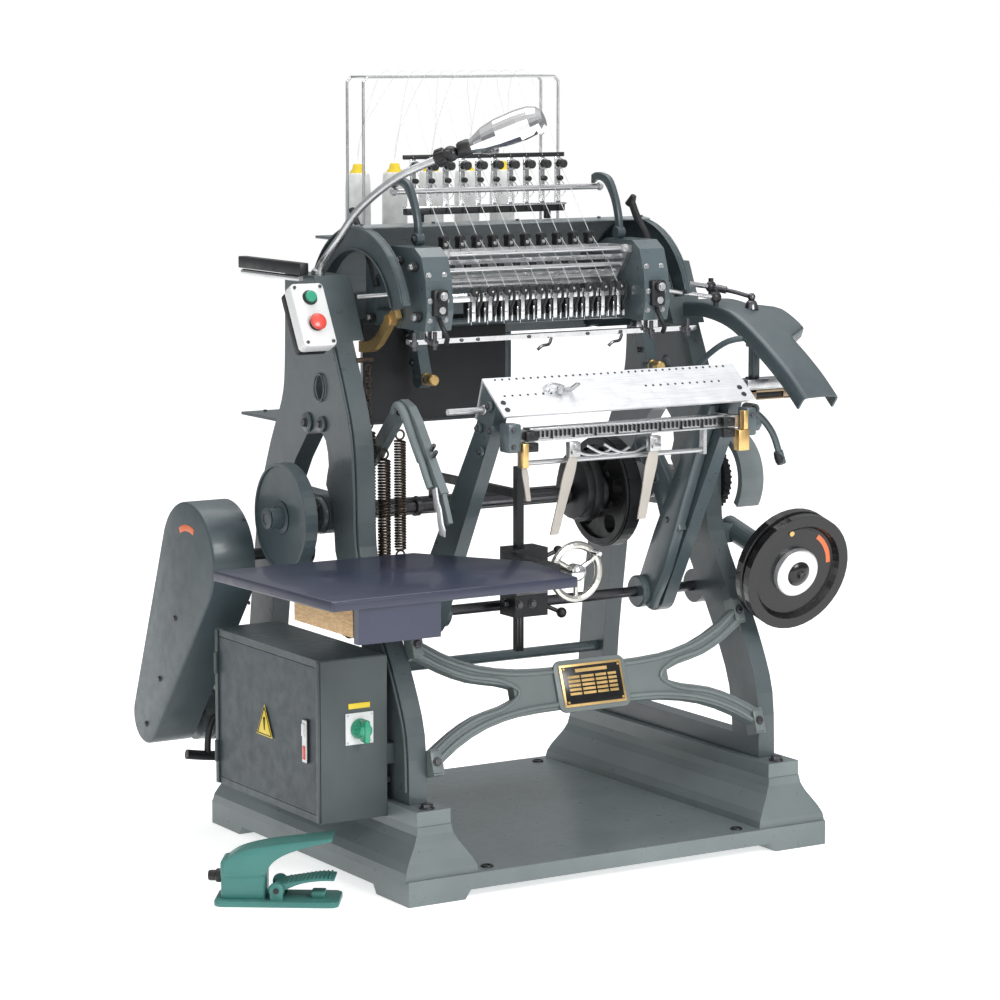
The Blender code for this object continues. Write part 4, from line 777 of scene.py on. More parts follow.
def makeTakeUp():
    rod, arms, bolts = blanks(3)
    addRod(rod, (0.198, 0.4, 1.356), (0.704, 0.4, 1.356), 0.006, sides=20)
    for x in (0.2045, 0.6975):
        addRod(rod, (x - 0.004, 0.4, 1.356), (x + 0.004, 0.4, 1.356), 0.0085, sides=6)
    finishPiece("takeUpRod", rod, "steel", "take_up", ["take_up_frame"])
    outer = flow([(0.413, 1.362), (0.392, 1.37), (0.364, 1.363), (0.339, 1.333), (0.325, 1.296),
                  (0.3235, 1.268)])
    inner = flow([(0.3065, 1.268), (0.309, 1.298), (0.324, 1.34), (0.35, 1.377), (0.392, 1.386), (0.413, 1.38)])
    for x in (0.206, 0.684):
        addPlate(arms, outer[::-1] + inner[::-1], "X", x, 0.012, 0.0025)
        addRod(arms, (x - 0.003, 0.315, 1.265), (x + 0.015, 0.315, 1.265), 0.0125, sides=28)
    finishPiece("takeUpArms", arms, "coverPaint", "take_up")
    addBolt(bolts, (0.203, 0.315, 1.265), toLeft, 0.0062)
    addBolt(bolts, (0.699, 0.315, 1.265), toRight, 0.0062)
    finishPiece("takeUpBolts", bolts, "oiledSteel", "take_up")


for makePiece in (makeTakeUp, makeNeedleBar, makeHeadTrim, makeHeadRods, makePins, makeTensionRack, makeThreads,
                  makeSpools, makeLamp):
    makePiece()
cheekDetail("Left", 0.165, 0.225)
cheekDetail("Right", 0.68, 0.74)
print("head, threads and lamp made")


# ---- saddle ----

saddleNumbers = {"ridge": (0.11, 1.003), "frontSlope": 52.0}


def downFront(x, distance, lift=0.0):  # a point on the saddle's front plate, raised off it by lift
    angle = math.radians(saddleNumbers["frontSlope"])
    y, z = saddleNumbers["ridge"]
    return Vector((x, y - math.sin(angle) * distance - math.cos(angle) * lift,
                   z - math.cos(angle) * distance + math.sin(angle) * lift))


def makeSaddleTrim():
    angle = math.radians(saddleNumbers["frontSlope"])
    out = Vector((0, -math.cos(angle), math.sin(angle)))
    holeShadeAndScrews, clip = blanks(2)
    # rows of small black discs: painted shade standing in for the saddle sheet's holes, laid as flat dark discs
    # on the plate
    for first, count, row in ((0.262, 7, 0.052), (0.595, 11, 0.048), (0.262, 34, 0.006)):
        for k in range(count):
            x = first + (0.0178 if row > 0.01 else 0.0165) * k
            addRod(holeShadeAndScrews, downFront(x, row, -0.001), downFront(x, row, 0.0006), 0.0025, sides=10, bevel=0)
    # the four larger black discs near the corners are screw heads
    for x in (0.25, 0.812):
        for distance in (0.07, 0.09):
            addRod(holeShadeAndScrews, downFront(x, distance, -0.001), downFront(x, distance, 0.0018), 0.0056, sides=14,
                   bevel=0.0004)
    finishPiece("saddleHoleShadeAndScrews", holeShadeAndScrews, "blackPlastic", "swing")
    turn = Matrix.Translation(downFront(0.405, 0.052)) @ Matrix.Rotation(angle - math.pi / 2, 4, "X")
    addBox(clip, (-0.042, -0.01, 0.0005), (0.006, 0.008, 0.006), 0.0015, turn)
    addBox(clip, (0.0, -0.03, 0.0005), (0.012, 0.03, 0.005), 0.0012, turn @ Matrix.Rotation(0.35, 4, "Z"))
    addTurned(clip, [(0, 0.014), (0.006, 0.014), (0.0085, 0.011), (0.0085, 0.005), (0, 0.005)],
              turn @ Vector((-0.018, 0, 0.0)), out, 18)
    addTube(clip, [turn @ Vector(p) for p in flow([(-0.044, 0.002, 0.004), (-0.05, -0.004, 0.01),
                                                   (-0.04, -0.012, 0.014),
                                                   (-0.022, -0.012, 0.012), (-0.006, -0.006, 0.01)])], 0.0022)
    finishPiece("saddleClip", clip, "steel", "swing")


def makeGauge():
    fins, scale, pads, lugs, bolts = blanks(5)
    for k in range(46):
        x = 0.288 + 0.0102 * k
        addBox(fins, (x, 0.0165, 0.888 + (0.004 if k % 5 else 0.0)), (x + 0.0016, 0.0225, 0.905), 0)
    for x in (0.2735, 0.7405):
        for z in (0.876, 0.898):
            addBox(fins, (x, 0.006, z - 0.01), (x + 0.028, 0.021, z + 0.008), 0.002)
            addBolt(fins, (x + 0.014, 0.006, z), toFront, 0.0042)
    finishPiece("gaugeTeeth", fins, "darkIron", "swing")
    addBox(scale, (0.285, 0.0125, 0.9085), (0.745, 0.04, 0.9115), 0.0006)
    addBox(scale, (0.285, 0.0175, 0.8845), (0.745, 0.0216, 0.8885), 0.0004)
    for x in (0.385, 0.575):  # clamps over the hanging strips
        addBox(scale, (x - 0.013, 0.006, 0.85), (x + 0.013, 0.021, 0.88), 0.0018)
        addBox(scale, (x - 0.01, 0.0, 0.856), (x + 0.01, 0.007, 0.864), 0.001)
        addBolt(scale, (x, 0.006, 0.872), toFront, 0.004)
    addRod(scale, (0.145, 0.09, 0.944), (0.2345, 0.09, 0.944), 0.0065, sides=18)
    addRing(scale, (0.226, 0.09, 0.944), toRight, 0.0085, 0.0022, 18, 8)
    for x in (0.388, 0.43, 0.47):
        addTube(scale, flow([(x, 0.034, 0.868), (x + 0.03, 0.028, 0.852), (x + 0.07, 0.03, 0.848),
                             (x + 0.1, 0.034, 0.858)]), 0.0028)
    finishPiece("gaugeScale", scale, "steel", "swing")
    addBox(pads, (0.2645, 0.004, 0.836), (0.2775, 0.02, 0.884), 0.0012)
    addBox(pads, (0.7745, 0.002, 0.838), (0.8005, 0.021, 0.88), 0.0015)
    addBox(pads, (0.788, 0.004, 0.88), (0.7985, 0.02, 0.918), 0.0012)
    finishPiece("gaugePads", pads, "brassMetal", "swing")
    for x0, x1 in ((0.235, 0.2645), (0.8005, 0.824)):
        addBox(lugs, (x0, 0.01, 0.866), (x1, 0.046, 0.922), 0.004)
    addRod(lugs, (0.824, 0.028, 0.886), (0.838, 0.028, 0.886), 0.0135)
    for y, z in ((0.078, 0.952), (0.07, 0.905), (0.11, 0.86), (0.118, 0.905)):
        addRod(lugs, (0.235, y, z), (0.229, y, z), 0.0095)
        addBolt(bolts, (0.229, y, z), toLeft, 0.0055)
    finishPiece("gaugeLugs", lugs, "castPaint", "swing")
    addBolt(bolts, (0.838, 0.028, 0.886), toRight, 0.008)
    for x, z in ((0.246, 0.91), (0.812, 0.908), (0.246, 0.878)):
        addBolt(bolts, (x, 0.01, z), toFront, 0.0045)
    finishPiece("gaugeBolts", bolts, "oiledSteel", "swing")


def makeStrips():
    strips = bmesh.new()
    for x, lean, top, low, width in ((0.385, -0.045, 0.855, 0.7, 0.026), (0.575, -0.03, 0.858, 0.716, 0.027),
                                     (0.271, 0.01, 0.838, 0.77, 0.014)):
        rows = 9
        edge = []
        for k in range(rows + 1):
            share = k / rows
            centre = x + lean * share
            half = width * (0.34 + 0.16 * math.sin(math.pi * min(1.0,
                    share * 1.25)) + 0.05 * math.sin(9.0 * share))
            edge.append((centre, half, top + (low - top) * share))
        outline = [(c - h, z) for c, h, z in edge] + [(c + h, z) for c, h, z in reversed(edge)]
        addPlate(strips, outline, "Y", 0.01, 0.0035, 0.0006)
    finishPiece("hangingStrips", strips, "stripCard", "swing")


# ---- main handwheel ----

wheelNumbers = {"centre": (0.98, 0.1, 0.568), "tilt": 15.0, "hubInner": 0.027, "hubOuter": 0.051}


def makeWheelTrim():
    tilt = math.radians(wheelNumbers["tilt"])
    axis = Vector((0.0, -math.cos(tilt), -math.sin(tilt)))
    centre = Vector(wheelNumbers["centre"])
    hub, cap, mark, studs = blanks(4)
    inner, outer = wheelNumbers["hubInner"], wheelNumbers["hubOuter"]
    addTurned(hub, [(inner, 0.029), (outer - 0.003, 0.0275), (outer, 0.025), (outer, 0.0118), (inner, 0.0118),
                    (inner, 0.029)], centre, axis, 48)
    finishPiece("wheelHubRing", hub, "saddleSheet", "wheel")
    addTurned(cap, [(0, 0.0375), (0.011, 0.037), (0.0175, 0.035), (0.025, 0.031), (0.0268, 0.028),
                    (0.0268, 0.024), (0, 0.024)], centre, axis, 36)
    addTurned(cap, [(0.052, 0.0108), (0.094, 0.0098), (0.094, 0.0112), (0.052, 0.0122), (0.052, 0.0108)],
              centre, axis, 60)
    addBolt(cap, centre + axis * 0.037, axis, 0.0085)
    finishPiece("wheelCap", cap, "blackEnamel", "wheel")
    basis = Matrix((Vector(toRight), axis.cross(Vector(toRight)), axis)).transposed().to_4x4()
    turn = Matrix.Translation(centre) @ basis
    arc = arcPoints((0, 0), 0.0915, 8, 58, 18) + arcPoints((0, 0), 0.0765, 58, 8, 18)
    addPlate(mark, arc, "Z", 0.01, 0.0015, 0.0002, turn)
    finishPiece("wheelMark", mark, "orangeMark", "wheel")
    addRod(studs, turn @ Vector((-0.024, 0.086, 0.01)), turn @ Vector((-0.024, 0.086, 0.015)), 0.006)
    finishPiece("wheelStud", studs, "brassMetal", "wheel")


# ---- feed table ----

tableNumbers = {"top": 0.648, "thick": 0.02, "corners": [(-0.262, -0.185), (0.272, -0.178), (0.302, 0.03),
                                                         (0.16, 0.248),
                                                          (-0.282, 0.252)]}


def makeTableTop():
    low = tableNumbers["top"] - tableNumbers["thick"]
    board, band, apron, iron, lever = blanks(5)
    addPlate(board, tableNumbers["corners"], "Z", low, tableNumbers["thick"], 0.0022)
    finishPiece("tableTop", board, "laminate", "table", ["feed_table"], 60)
    corners = [Vector((*c, 0)) for c in tableNumbers["corners"]]
    for start, end in zip(corners, corners[1:] + corners[:1]):
        run = end - start
        turn = Matrix.Translation(start) @ Matrix.Rotation(math.atan2(run.y, run.x), 4, "Z")
        addBox(band, (0.003, -0.0006, low + 0.003), (run.length - 0.003, 0.0004, low + 0.0165), 0.0002, turn)
    for corner in corners:
        addBolt(band, (corner.x * 0.93, corner.y * 0.9, low + 0.0006), (0, 0, -1), 0.004, 12, False)
    finishPiece("tableEdge", band, "edgeBand", "table")
    addBox(apron, (-0.2015, -0.152, 0.571), (-0.1995, 0.0745, low - 0.001), 0.0002)
    addBox(apron, (-0.1995, 0.0745, 0.571), (-0.035, 0.0755, low - 0.001), 0.0002)
    finishPiece("apronEnd", apron, "chipboard", "table")
    for x, y in ((0.3855, 0.11), (0.3855, 0.16), (-0.15, 0.105), (0.06, 0.105), (0.24, 0.105)):
        addBolt(iron, (x, y, 0.5995), (0, 0, -1), 0.0065)
    for z in (0.52, 0.606):
        for x in (0.408, 0.44):
            addBolt(iron, (x, 0.25, z), toFront, 0.0075)
        addBolt(iron, (0.396, 0.28, z), toLeft, 0.0085)
    for x in (0.4185, 0.4255):
        addBox(iron, (x - 0.001, 0.2715, 0.43), (x + 0.001, 0.2719, 0.492), 0)
    addBox(iron, (0.398, 0.244, 0.54), (0.472, 0.2502, 0.588), 0.0015)
    finishPiece("carrierBolts", iron, "oiledSteel", "table")
    addRod(lever, (0.4735, 0.28, 0.515), (0.51, 0.262, 0.497), 0.0045)
    addBall(lever, (0.516, 0.259, 0.494), 0.011)
    addRod(lever, (0.4735, 0.262, 0.612), (0.5, 0.258, 0.622), 0.0045)
    addBall(lever, (0.506, 0.257, 0.624), 0.01)
    finishPiece("clampLevers", lever, "blackPlastic", "table")


def makeTableWheelTrim():
    x, y, z = 0.464, 0.13, 0.6
    hub = bmesh.new()
    addTurned(hub, [(0, 0.01), (0.006, 0.0095), (0.013, 0.007), (0.0165, 0.003), (0.0165, 0.0), (0, 0)],
              (x, y - 0.0135, z), toFront, 28)
    addTurned(hub, [(0, 0.03), (0.004, 0.03), (0.007, 0.026), (0.0058, 0.016), (0.0072, 0.006), (0.005, 0.0),
                    (0, 0.0)], (x + 0.038, y - 0.006, z + 0.038), toFront, 20)
    finishPiece("tableWheelHub", hub, "brightSteel", "table_wheel")


# ---- cabinet, switch and push buttons ----

cabinetNumbers = {"left": -0.106, "front": 0.155, "back": 0.6, "right": 0.0415}


def makeCabinetTrim():
    left, front, back = cabinetNumbers["left"], cabinetNumbers["front"], cabinetNumbers["back"]
    signs, dark, latch, red, body, plate, label, screws, ribs, grip = blanks(10)
    centreY, centreZ = 0.384, 0.306
    triangle = [(centreY - 0.034, centreZ - 0.024), (centreY + 0.034, centreZ - 0.024),
                (centreY, centreZ + 0.04)]
    addPlate(signs, triangle, "X", left - 0.0006, 0.0008, 0.0001)
    finishPiece("doorTriangle", signs, "yellowPlastic", "door")
    for start, end in (((centreY - 0.029, centreZ - 0.021), (centreY + 0.029, centreZ - 0.021)),
                       ((centreY + 0.029, centreZ - 0.021), (centreY, centreZ + 0.0345)),
                       ((centreY, centreZ + 0.0345), (centreY - 0.029, centreZ - 0.021))):
        addRod(dark, (left - 0.0006, *start), (left - 0.0006, *end), 0.0011, sides=6, bevel=0)
    addRod(dark, (left - 0.0008, centreY, centreZ + 0.014), (left - 0.0008, centreY, centreZ - 0.012), 0.003,
           0.0012, sides=8, bevel=0)
    addBox(dark, (left - 0.0022, 0.2005, 0.258), (left + 0.0002, 0.2225, 0.346), 0.0012)
    finishPiece("doorDarkTrim", dark, "blackPlastic", "door")
    addBox(latch, (left - 0.0034, 0.2025, 0.26), (left - 0.0016, 0.2205, 0.344), 0.0006)
    addBox(latch, (left - 0.008, 0.2065, 0.312), (left - 0.0016, 0.2165, 0.338), 0.0022)
    finishPiece("doorLatch", latch, "offWhite", "door")
    addBox(red, (left - 0.0056, 0.207, 0.266), (left - 0.003, 0.216, 0.293), 0.0008)
    finishPiece("doorTag", red, "redPlastic", "door")
    for z in (0.215, 0.398):
        addRod(body, (left - 0.0035, back - 0.01, z - 0.022), (left - 0.0035, back - 0.01, z + 0.022), 0.0042,
               sides=14)
    finishPiece("cabinetHinges", body, "cabinetPaint")
    addBox(plate, (-0.049, front - 0.0022, 0.297), (0.013, front - 0.0002, 0.36), 0.001)
    for k in range(7):
        angle = math.radians(-30 + 40 * k)
        place = Vector((-0.018 + 0.024 * math.sin(angle), front - 0.0024, 0.328 + 0.024 * math.cos(angle)))
        if k not in (3, 4):
            addRod(plate, place, place + Vector((0, -0.0006, 0)), 0.0012, sides=8, bevel=0)
    finishPiece("switchPlate", plate, "offWhite")
    addBox(label, (-0.042, front - 0.0012, 0.368), (0.006, front - 0.0002, 0.379), 0.0003)
    finishPiece("switchLabel", label, "yellowPlastic")
    for x in (-0.0445, 0.0085):
        for z in (0.3015, 0.3555):
            addBolt(screws, (x, front - 0.0022, z), toFront, 0.002, 10, False)
    for y in (0.2, 0.55):
        for z in (0.175, 0.44):
            addBolt(screws, (cabinetNumbers["right"] - 0.001, y, z), toRight, 0.004, 10, False)
    finishPiece("cabinetScrews", screws, "steel")
    addBox(ribs, (left + 0.001, front + 0.001, 0.4655), (0.0405, back - 0.001, 0.4695), 0.0015)
    addBox(ribs, (left - 0.0012, front + 0.0005, 0.1475), (left + 0.002, front + 0.0125, 0.466), 0.0008)
    addBox(ribs, (left - 0.0012, back - 0.0125, 0.1475), (left + 0.002, back - 0.0005, 0.466), 0.0008)
    finishPiece("cabinetLid", ribs, "cabinetPaint")
    addTurned(grip, [(0, 0.03), (0.01, 0.0295), (0.0135, 0.026), (0.015, 0.015), (0.019, 0.008),
                     (0.0205, 0.003), (0.0205, 0), (0, 0)], (-0.018, front - 0.0028, 0.328), toFront, 32)
    addBox(grip, (-0.0245, front - 0.0365, 0.3035), (-0.0115, front - 0.012, 0.349), 0.0045)
    for k in range(14):
        turn = Matrix.Translation((-0.018, front - 0.0028, 0.328)) @ Matrix.Rotation(math.tau * k / 14, 4, "Y")
        addRod(grip, turn @ Vector((0.0185, -0.003, 0)), turn @ Vector((0.015, -0.016, 0)), 0.0022, sides=8,
               bevel=0)
    finishPiece("switchGrip", grip, "greenPlastic", "switch", ["switch_knob"])


boxNumbers = {"face": (0.0075, 0.375, 1.12), "lean": 28.0, "half": (0.037, 0.068), "startRise": 0.036,
              "stopRise": -0.02}


def boxTurn():
    lean = math.radians(boxNumbers["lean"])
    across = Vector(toRight)
    up = Vector((0, math.sin(lean), math.cos(lean)))
    return Matrix.Translation(Vector(boxNumbers["face"])) @ Matrix((across, up,
            across.cross(up))).transposed().to_4x4()


def roundedOutline(halfWidth, halfHeight, radius, count=6):
    outline = []
    for x, y, start in ((1, 1, 0), (-1, 1, 90), (-1, -1, 180), (1, -1, 270)):
        outline += arcPoints((x * (halfWidth - radius), y * (halfHeight - radius)), radius, start, start + 90,
                             count)
    return outline


def makeButtonBox():
    turn = boxTurn()
    cover, rear, screws = blanks(3)
    addPlate(cover, roundedOutline(*boxNumbers["half"], 0.01), "Z", -0.03, 0.03, 0.003, turn)
    finishPiece("buttonCover", cover, "offWhite", replaced=["button_box"])
    addPlate(rear, roundedOutline(0.0345, 0.065, 0.008), "Z", -0.052, 0.0225, 0.002, turn)
    for rise, radius in ((boxNumbers["startRise"], 0.0155), (boxNumbers["stopRise"], 0.015)):
        addTurned(rear, [(0, 0.0042), (radius - 0.002, 0.0042), (radius, 0.0026), (radius, -0.001),
                         (0, -0.001)], turn @ Vector((0, rise, 0)), turn.to_3x3() @ Vector(toTop), 32)
    finishPiece("buttonBoxBack", rear, "darkIron")
    for x in (-0.0285, 0.0285):
        for y in (-0.059, 0.059):
            addBolt(screws, turn @ Vector((x, y, 0.0)), turn.to_3x3() @ Vector(toTop), 0.0036, 12, False)
    finishPiece("buttonScrews", screws, "oiledSteel")
    out = turn.to_3x3() @ Vector(toTop)
    for name, body, rise, profile, finish in (
            ("startCap", "start", boxNumbers["startRise"], [(0, 0.0072), (0.0095, 0.007), (0.0118, 0.0052),
                                                            (0.0118, 0.0), (0, 0.0)],
             "greenPlastic"),
            ("stopCap", "stop", boxNumbers["stopRise"], [(0, 0.0145), (0.009, 0.0138), (0.015, 0.0115),
                                                         (0.0175, 0.0075),
                                                         (0.0165, 0.0045), (0.011, 0.003), (0.01, 0.0),
                                                         (0, 0.0)], "redPlastic")):
        cap = bmesh.new()
        addTurned(cap, profile, turn @ Vector((0, rise, 0.0045)), out, 32)
        finishPiece(name, cap, finish, body, [body + "_button"])


for makePiece in (makeSaddleTrim, makeGauge, makeStrips, makeWheelTrim, makeTableTop, makeTableWheelTrim,
                  makeCabinetTrim, makeButtonBox):
    makePiece()
print("saddle, wheels, table and controls made")


# ---- drive side: guards, cams, gears and motor ----

driveNumbers = {"cam": (0.456, 0.707), "drive": (0.675, 0.6), "motor": (0.885, 0.238), "gear": (0.355, 0.735),
                "guardLeft": -0.13, "guardRight": -0.035, "guardWall": 0.002}


def beltOutline(top, topRadius, bottom, bottomRadius):
    run = Vector(bottom) - Vector(top)
    heading = math.degrees(math.atan2(run.y, run.x))
    wrap = math.degrees(math.acos((topRadius - bottomRadius) / run.length))
    return (arcPoints(top, topRadius, heading + wrap, heading + 360 - wrap, 44)
            + arcPoints(bottom, bottomRadius, heading - wrap, heading + wrap, 24))


def makeGuard():
    shell, screws, mark = blanks(3)
    left, right, wall = driveNumbers["guardLeft"], driveNumbers["guardRight"], driveNumbers["guardWall"]
    outline = beltOutline(driveNumbers["drive"], 0.12, driveNumbers["motor"], 0.058)
    face = shell.faces.new([shell.verts.new((right, y, z)) for y, z in outline])
    made = bmesh.ops.extrude_face_region(shell, geom=[face])["geom"]
    front = [g for g in made if isinstance(g, bmesh.types.BMFace)]
    bmesh.ops.translate(shell, vec=(left - right, 0, 0),
                        verts=[g for g in made if isinstance(g, bmesh.types.BMVert)])
    back = [f for f in shell.faces if len(f.verts) > 4 and f not in front]
    bmesh.ops.delete(shell, geom=back, context="FACES_ONLY")
    soften(shell, [e for f in front for e in f.edges], 0.0045, 3)
    bmesh.ops.recalc_face_normals(shell, faces=shell.faces)
    if sum(f.normal.x for f in shell.faces) > 0:
        bmesh.ops.reverse_faces(shell, faces=shell.faces)
    bmesh.ops.solidify(shell, geom=shell.faces[:], thickness=wall)
    finishPiece("guardShell", shell, "coverPaint", replaced=["belt_guard"])
    for y, z in ((0.735, 0.47), (0.812, 0.33), (0.88, 0.222)):
        addBolt(screws, (left, y, z), toLeft, 0.0052, 12, True)
    for y, z in ((0.562, 0.52), (0.58, 0.69), (0.788, 0.64)):
        addBolt(screws, (right - 0.01, y, z), toLeft, 0.004, 12, False)
    finishPiece("guardScrews", screws, "oiledSteel")
    band = arcPoints((0.672, 0.59), 0.083, 62, 112, 16) + arcPoints((0.672, 0.59), 0.07, 112, 62, 16)
    addPlate(mark, band, "X", left - 0.0006, 0.001, 0.0001)
    finishPiece("guardMark", mark, "orangeMark")


def toothOutline(centre, root, tip, count, phase=0.0):
    outline = []
    for k in range(count):
        for share, radius in ((-0.3, root), (-0.15, tip), (0.15, tip), (0.3, root)):
            angle = math.tau * (k + share) / count + phase
            outline.append((centre[0] + radius * math.cos(angle), centre[1] + radius * math.sin(angle)))
    return outline


def makeGears():
    y, z = driveNumbers["gear"]
    camY, camZ = driveNumbers["cam"]
    toward = math.atan2(camZ - z, camY - y)
    gear, pinion = blanks(2)
    addPlate(gear, toothOutline((y, z), 0.0668, 0.0706, 35, toward + math.pi / 35), "X", 0.945, 0.015, 0)
    addTurned(gear, [(0.014, 0.004), (0.026, 0.004), (0.028, 0.0), (0.014, 0.0), (0.014, 0.004)], (0.96, y, z),
              toRight)
    addRod(gear, (0.9403, y, z), (0.985, y, z), 0.014)
    addBolt(gear, (0.985, y, z), toRight, 0.009)
    addBoltCircle(gear, 0.96, (y, z), 0.045, 5, toRight, 0.005)
    finishPiece("gearWheel", gear, "darkIron", "gear", ["gear_right"])
    addPlate(pinion, toothOutline((camY, camZ), 0.033, 0.037, 17, toward + math.pi), "X", 0.9428, 0.0169, 0)
    for x0, x1, r in ((0.1105, 0.124, 0.022), (0.64, 0.654, 0.022), (0.86, 0.874, 0.022), (0.28, 0.292, 0.02)):
        addRod(pinion, (x0, camY, camZ), (x1, camY, camZ), r, bevel=0.0012)
        addBolt(pinion, ((x0 + x1) / 2, camY, camZ + r - 0.001), toTop, 0.0035, 6, False)
    addBolt(pinion, (0.962, camY, camZ), toRight, 0.009)
    finishPiece("shaftCollars", pinion, "oiledSteel", "cams")


def makeCams():
    y, z = driveNumbers["cam"]
    cams, disc, bore = blanks(3)
    for x0, x1, big, small, swing in ((0.69, 0.712, 0.098, 0.058, 0.6), (0.66, 0.68, 0.082, 0.05, 2.4),
                                      (0.775, 0.79, 0.06, 0.05, 4.0)):
        outline = []
        for k in range(48):
            angle = math.tau * k / 48
            share = 0.5 + 0.5 * math.cos(angle - swing)
            radius = small + (big - small) * share ** 1.6
            outline.append((y + radius * math.cos(angle), z + radius * math.sin(angle)))
        addPlate(cams, outline, "X", x0, x1 - x0, 0.0012)
    addTurned(cams, [(0.1, 0.005), (0.114, 0.005), (0.1165, 0.003), (0.1165, -0.001), (0.1, -0.001),
                     (0.1, 0.005)], (0.735, y, z), toLeft, 56)
    addTurned(cams, [(0.0145, 0.014), (0.034, 0.014), (0.037, 0.011), (0.04, 0.0), (0.0145, 0.0),
                     (0.0145, 0.014)], (0.735, y, z), toLeft, 36)
    addBoltCircle(cams, 0.735, (y, z), 0.052, 5, toLeft, 0.0055, math.pi / 5 + 0.4)
    finishPiece("camDiscs", cams, "darkIron", "cams")
    addTurned(disc, [(0.104, 0.0004), (0.1088, 0.0004), (0.11, -0.0008), (0.11, -0.004), (0.104, -0.004),
                     (0.104, 0.0004)], (-0.03, y, z), toLeft, 72)
    addTurned(disc, [(0.0225, 0.001), (0.03, 0.0), (0.034, -0.001), (0.0225, -0.001), (0.0225, 0.001)],
              (-0.0302, y, z), toLeft, 40)
    addTurned(disc, [(0.0115, 0.0022), (0.0185, 0.0022), (0.0215, 0.0006), (0.0215, -0.001), (0.0115, -0.001),
                     (0.0115, 0.0022)], (-0.06, y, z), toLeft, 36)
    finishPiece("discTrim", disc, "coverPaint", "cams")
    addRod(bore, (-0.0608, y, z), (-0.059, y, z), 0.0112, bevel=0.0004)
    addBox(bore, (-0.0612, y - 0.003, z + 0.008), (-0.0592, y + 0.003, z + 0.0145), 0.0004)
    addBolt(bore, (-0.044, y, z + 0.0215), toTop, 0.004, 6, False)
    finishPiece("discBore", bore, "oiledSteel", "cams")


def makeFollower():
    arm, bolts = blanks(2)
    outline = [(0.268, 0.628), (0.3, 0.7), (0.338, 0.762), (0.376, 0.8), (0.384, 0.816), (0.37, 0.83),
               (0.35, 0.828), (0.305, 0.806), (0.262, 0.76), (0.226, 0.7), (0.214, 0.65)]
    addPlate(arm, outline, "X", 0.776, 0.0205, 0.004)
    rib = [(0.318, 0.47), (0.372, 0.5), (0.3, 0.64), (0.15, 0.9), (0.118, 0.935), (0.098, 0.92), (0.19, 0.72),
           (0.262, 0.56)]
    addPlate(arm, rib, "X", 0.77, 0.0268, 0.005)
    addRod(arm, (0.756, 0.345, 0.505), (0.7968, 0.345, 0.505), 0.034, sides=36, bevel=0.003)
    addRod(arm, (0.2655, 0.345, 0.505), (0.29, 0.345, 0.505), 0.032, sides=36, bevel=0.003)
    for y, z in ((0.25, 0.668), (0.3, 0.752)):
        addRod(arm, (0.7765, y, z), (0.7722, y, z), 0.013, bevel=0.002)
        addBolt(bolts, (0.7722, y, z), toLeft, 0.0065)
    finishPiece("followerArm", arm, "castPaint", "swing")
    addBolt(bolts, (0.273, 0.345, 0.5365), toTop, 0.005, 6, False)
    finishPiece("followerBolts", bolts, "oiledSteel", "swing")


def makeMotorTrim():
    y, z = driveNumbers["motor"]
    fins, dark = blanks(2)
    for k in range(15):
        addTurned(fins, [(0.0605, 0.0035), (0.0655, 0.003), (0.0655, 0.0005), (0.0605, 0.0), (0.0605, 0.0035)],
                  (0.01 + 0.0128 * k, y, z), toRight, 44)
    addBox(fins, (0.08, y - 0.036, z + 0.056), (0.16, y + 0.036, z + 0.092), 0.004)
    addRod(fins, (0.08, y, z + 0.074), (0.066, y, z + 0.074), 0.01)
    finishPiece("motorFins", fins, "framePaint")
    addBoltCircle(dark, 0.24, (y, z), 0.038, 6, toRight, 0.004)
    for k in range(9):
        addBox(dark, (0.2397, y - 0.026, z - 0.024 + 0.006 * k), (0.2408, y + 0.026, z - 0.0215 + 0.006 * k), 0)
    addTube(dark, flow([(-0.078, 0.795, 0.166), (-0.04, 0.792, 0.16), (0.0, 0.79, 0.156), (0.055, 0.79, 0.156)],
                       5), 0.0105, 14)
    addTube(dark, flow([(-0.03, 0.792, 0.162), (-0.031, 0.786, 0.2), (-0.02, 0.78, 0.24), (0.02, 0.775, 0.262),
                        (0.058, 0.775, 0.262)], 5), 0.007, 12)
    finishPiece("motorIron", dark, "darkIron")


# ---- right arm cover, slide and levers ----

coverNumbers = {"line": [(0.38, 1.112), (0.3, 1.116), (0.2, 1.098), (0.1, 1.05), (0.01, 0.994),
                         (-0.052, 0.945)],
                "left": 0.895, "right": 0.985, "ear": 1.038, "lip": 0.034, "wall": 0.0045}


def easeStep(value, low, high):
    share = min(1.0, max(0.0, (value - low) / (high - low)))
    return share * share * (3 - 2 * share)


